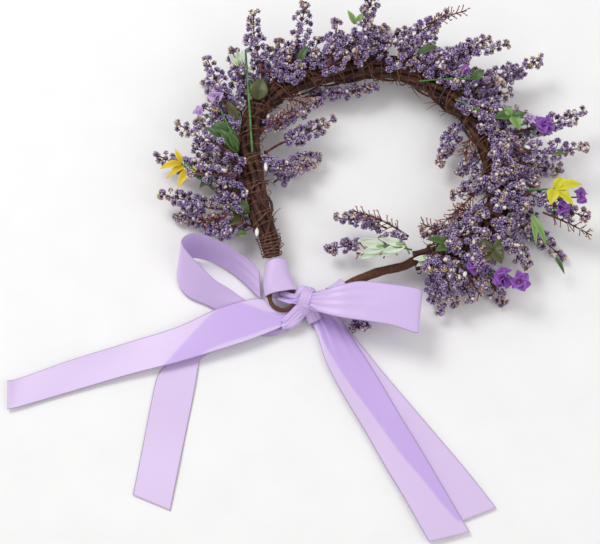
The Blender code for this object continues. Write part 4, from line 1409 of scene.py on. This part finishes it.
def make_leaves():
    pile = Pile()
    for station, foot, tip, width, green in LEAVES:
        grow_leaf(pile, beside_hoop(station, *foot), beside_hoop(station, *tip), width * MM, green)
    for station, foot, tip, thick in STEMS:
        base, end = beside_hoop(station, *foot), beside_hoop(station, *tip)
        path = np.linspace(base, end, 12)
        path[:, 2] += 1.5 * MM * np.sin(np.linspace(0, math.pi, 12))
        pile.tube(path, thick * MM, 7, 3)
    return settle(pile.make("loose_leaves", GREENERY), "hoop", "green_leaf")


make_leaves()

# %% Sprigs of the frame
# Each sprig: frame node, station, stem from and to, leaves as (foot share, tip, width)
YELLOW_LEFT = ((24, -12, -2), (46, 8, 10),
               ((1.0, (60, 4, 14), 5), (1.0, (48, 17, 14), 3.5), (0.92, (57, -3, 12), 4),
                (0.75, (33, -4, 13), 7), (0.8, (50, -9, 10), 6)))
YELLOW_RIGHT = ((16, 4, 6), (35, 8, 16),
                ((1.0, (40, 1, 18), 6), (1.0, (31, 20, 17), 8), (1.0, (52, 6, 18), 7),
                 (0.98, (46, 20, 16), 6)))
GREEN_LEFT = ((12, -6, 10), (14, -46, 6),
              ((0.2, (24, -10, 12), 9), (0.5, (21, -36, 3), 8), (0.85, (24, -54, 6), 8)))


def make_sprig(name, node, slot, station, plan, petal, stalk):
    start, end, leaves = plan
    start, end = beside_hoop(station, *start), beside_hoop(station, *end)
    pile = Pile()
    pile.tube(np.linspace(start, end, 6), np.linspace(0.9, 0.6, 6) * MM, 7, 1)
    for share, tip, width in leaves:
        foot = start + (end - start) * (share - 0.03)
        grow_leaf(pile, foot, beside_hoop(station, *tip), width * MM, 0, droop=0.16, cup=0.35)
    return settle(pile.make(name, [petal, stalk]), "hoop", slot, node)


make_sprig("yellow_petals_left", "yellow_sprig_left", "yellow_blossom", 0.151, YELLOW_LEFT, YELLOW, STALK)
make_sprig("yellow_petals_right", "yellow_sprig_right", "yellow_blossom", 0.80, YELLOW_RIGHT,
           YELLOW_GREEN, STALK)
make_sprig("green_leaves_left", "leaf_sprig_left", "green_leaf", 0.231, GREEN_LEFT, LEAF, STALK)

# %% Blossoms and beads
# Station, place, facing, size in mm, petals
VIOLETS = (
    (0.734, (34, 1, 20), (0.4, 0.1, 1), 8, 6), (0.817, (51, -1, 11), (0.5, 0, 1), 6.5, 5),
    (0.817, (40, 9, 11), (0.6, -0.2, 0.8), 6, 5), (0.923, (17, 0, 8), (0.1, -0.3, 1), 7.5, 6),
    (0.923, (31, -13, 5), (0.2, -0.4, 1), 8, 6), (0.923, (37, -21, 4), (0.3, -0.2, 1), 8, 6),
    (0.60, (12, 6, 19), (0.2, 0.3, 1), 4, 5),
)
MAUVES = (
    (0.244, (24, 1, 15), (-0.5, 0.3, 1), 6.5, 4), (0.223, (33, 1, 14), (-0.6, 0.2, 0.8), 5, 4),
    (0.717, (27, 3, 20), (0.4, 0.4, 1), 5.5, 4),
)
# Lilies: station, foot of the cup, tip, spread of the petals in mm, petals
LILIES = (
    (1.0, (-6, 6, 14), (-6, 22, 16), 6.5, 5), (1.0, (-7, 19, 14), (-6, 35, 16), 6.5, 5),
    (0.289, (24, -2, 14), (32, 2, 18), 4.5, 4), (0.985, (4, 0, 12), (8, 8, 13), 3.5, 4),
)
BEADS = (                         # Station, foot, tip, which finish: 0 gloss white, 1 cream
    (0.042, (6, 1, 7), (8, -5, 7), 0), (0.156, (-9, 0, 5), (-8, -7, 5), 0),
    (0.849, (1, -1, 15), (1, 1, 18), 0), (0.849, (6, -2, 14), (6, 0, 17), 0),
    (0.914, (3, -2, 14), (7, 2, 16), 1), (0.50, (10, 0, 18), (12, 4, 20), 1),
    (0.68, (12, 4, 17), (14, 8, 19), 1), (0.76, (20, -4, 14), (23, 0, 16), 0),
    (0.93, (20, 4, 10), (23, 7, 12), 0), (0.43, (2, 4, 18), (5, 7, 19), 1),
    (0.30, (16, 4, 12), (20, 6, 14), 1), (0.70, (6, 14, 14), (8, 17, 16), 0),
)


def grow_lily(pile, base, tip, spread, petals, source):
    """A trumpet of narrow petals on a green cup."""
    axis = unit(tip - base)
    side = unit(np.cross(axis, [0.1, 0.05, 1.0]))
    up = np.cross(side, axis)
    for k in range(petals):
        turn = 2 * math.pi * k / petals + source.uniform(-0.2, 0.2)
        outwards = side * math.cos(turn) + up * math.sin(turn)
        end = tip + outwards * spread * source.uniform(0.8, 1.1)
        grow_leaf(pile, base + outwards * 0.5 * MM, end, spread * 0.85, 0, droop=-0.10, cup=0.4,
                  tilt=source.uniform(-0.5, 0.5), blunt=0.7)
    cup = np.linspace(0, 0.42, 6)
    pile.tube(base + np.outer(cup, tip - base), np.array([0.7, 1.3, 1.8, 2.0, 1.9, 1.5]) * MM, 10, 2)


def make_blossoms(name, rows, petal, slot, node=None):
    source = np.random.default_rng(31)
    pile = Pile()
    for station, place, facing, size, petals in rows:
        centre = beside_hoop(station, *place)
        grow_blossom(pile, centre, facing, size * MM, petals, 0, source)
        scatter(pile, centre[None] + unit(facing) * 1.5 * MM, np.array([1.0 * MM]), 1, source)
        root = beside_hoop(station, place[0] * 0.75, place[1] * 0.8, place[2] * 0.7)
        pile.tube(np.linspace(root, centre, 5), 0.6 * MM, 6, 2)
    made = pile.make(name, [petal, TIPS, STALK])
    return settle(made, "hoop", slot, *([node] if node else []))


make_blossoms("violet_blossoms", VIOLETS, VIOLET, "violet_blossom", "violet_blossom_sprig")
make_blossoms("mauve_blossoms", MAUVES, MAUVE, "violet_blossom")


def make_lilies():
    source = np.random.default_rng(33)
    pile = Pile()
    for station, foot, tip, spread, petals in LILIES:
        base = beside_hoop(station, *foot)
        grow_lily(pile, base, beside_hoop(station, *tip), spread * MM, petals, source)
        stem = beside_hoop(station, foot[0] * 0.3, foot[1] * 0.6, foot[2] * 0.6)
        pile.tube(np.linspace(stem, base, 5), 0.6 * MM, 6, 2)
    return settle(pile.make("white_lilies", [WHITE, TIPS, FRESH]), "hoop", "white_blossom",
                  "white_blossom_sprig")


def make_beads():
    """Glossy drops with a pointed end."""
    pile = Pile()
    for station, foot, tip, kind in BEADS:
        share = np.linspace(0, 1, 12)[:, None]
        path = beside_hoop(station, *foot) * (1 - share) + beside_hoop(station, *tip) * share
        swell = np.sqrt(np.clip(1 - (2 * share[:, 0] ** 1.5 - 1) ** 2, 0.004, 1))
        pile.tube(path, 1.7 * MM * swell * (1 - 0.4 * share[:, 0]), 14, kind)
    return settle(pile.make("drop_beads", [GLOSS, CREAM]), "hoop", "white_blossom")


make_lilies()
make_beads()
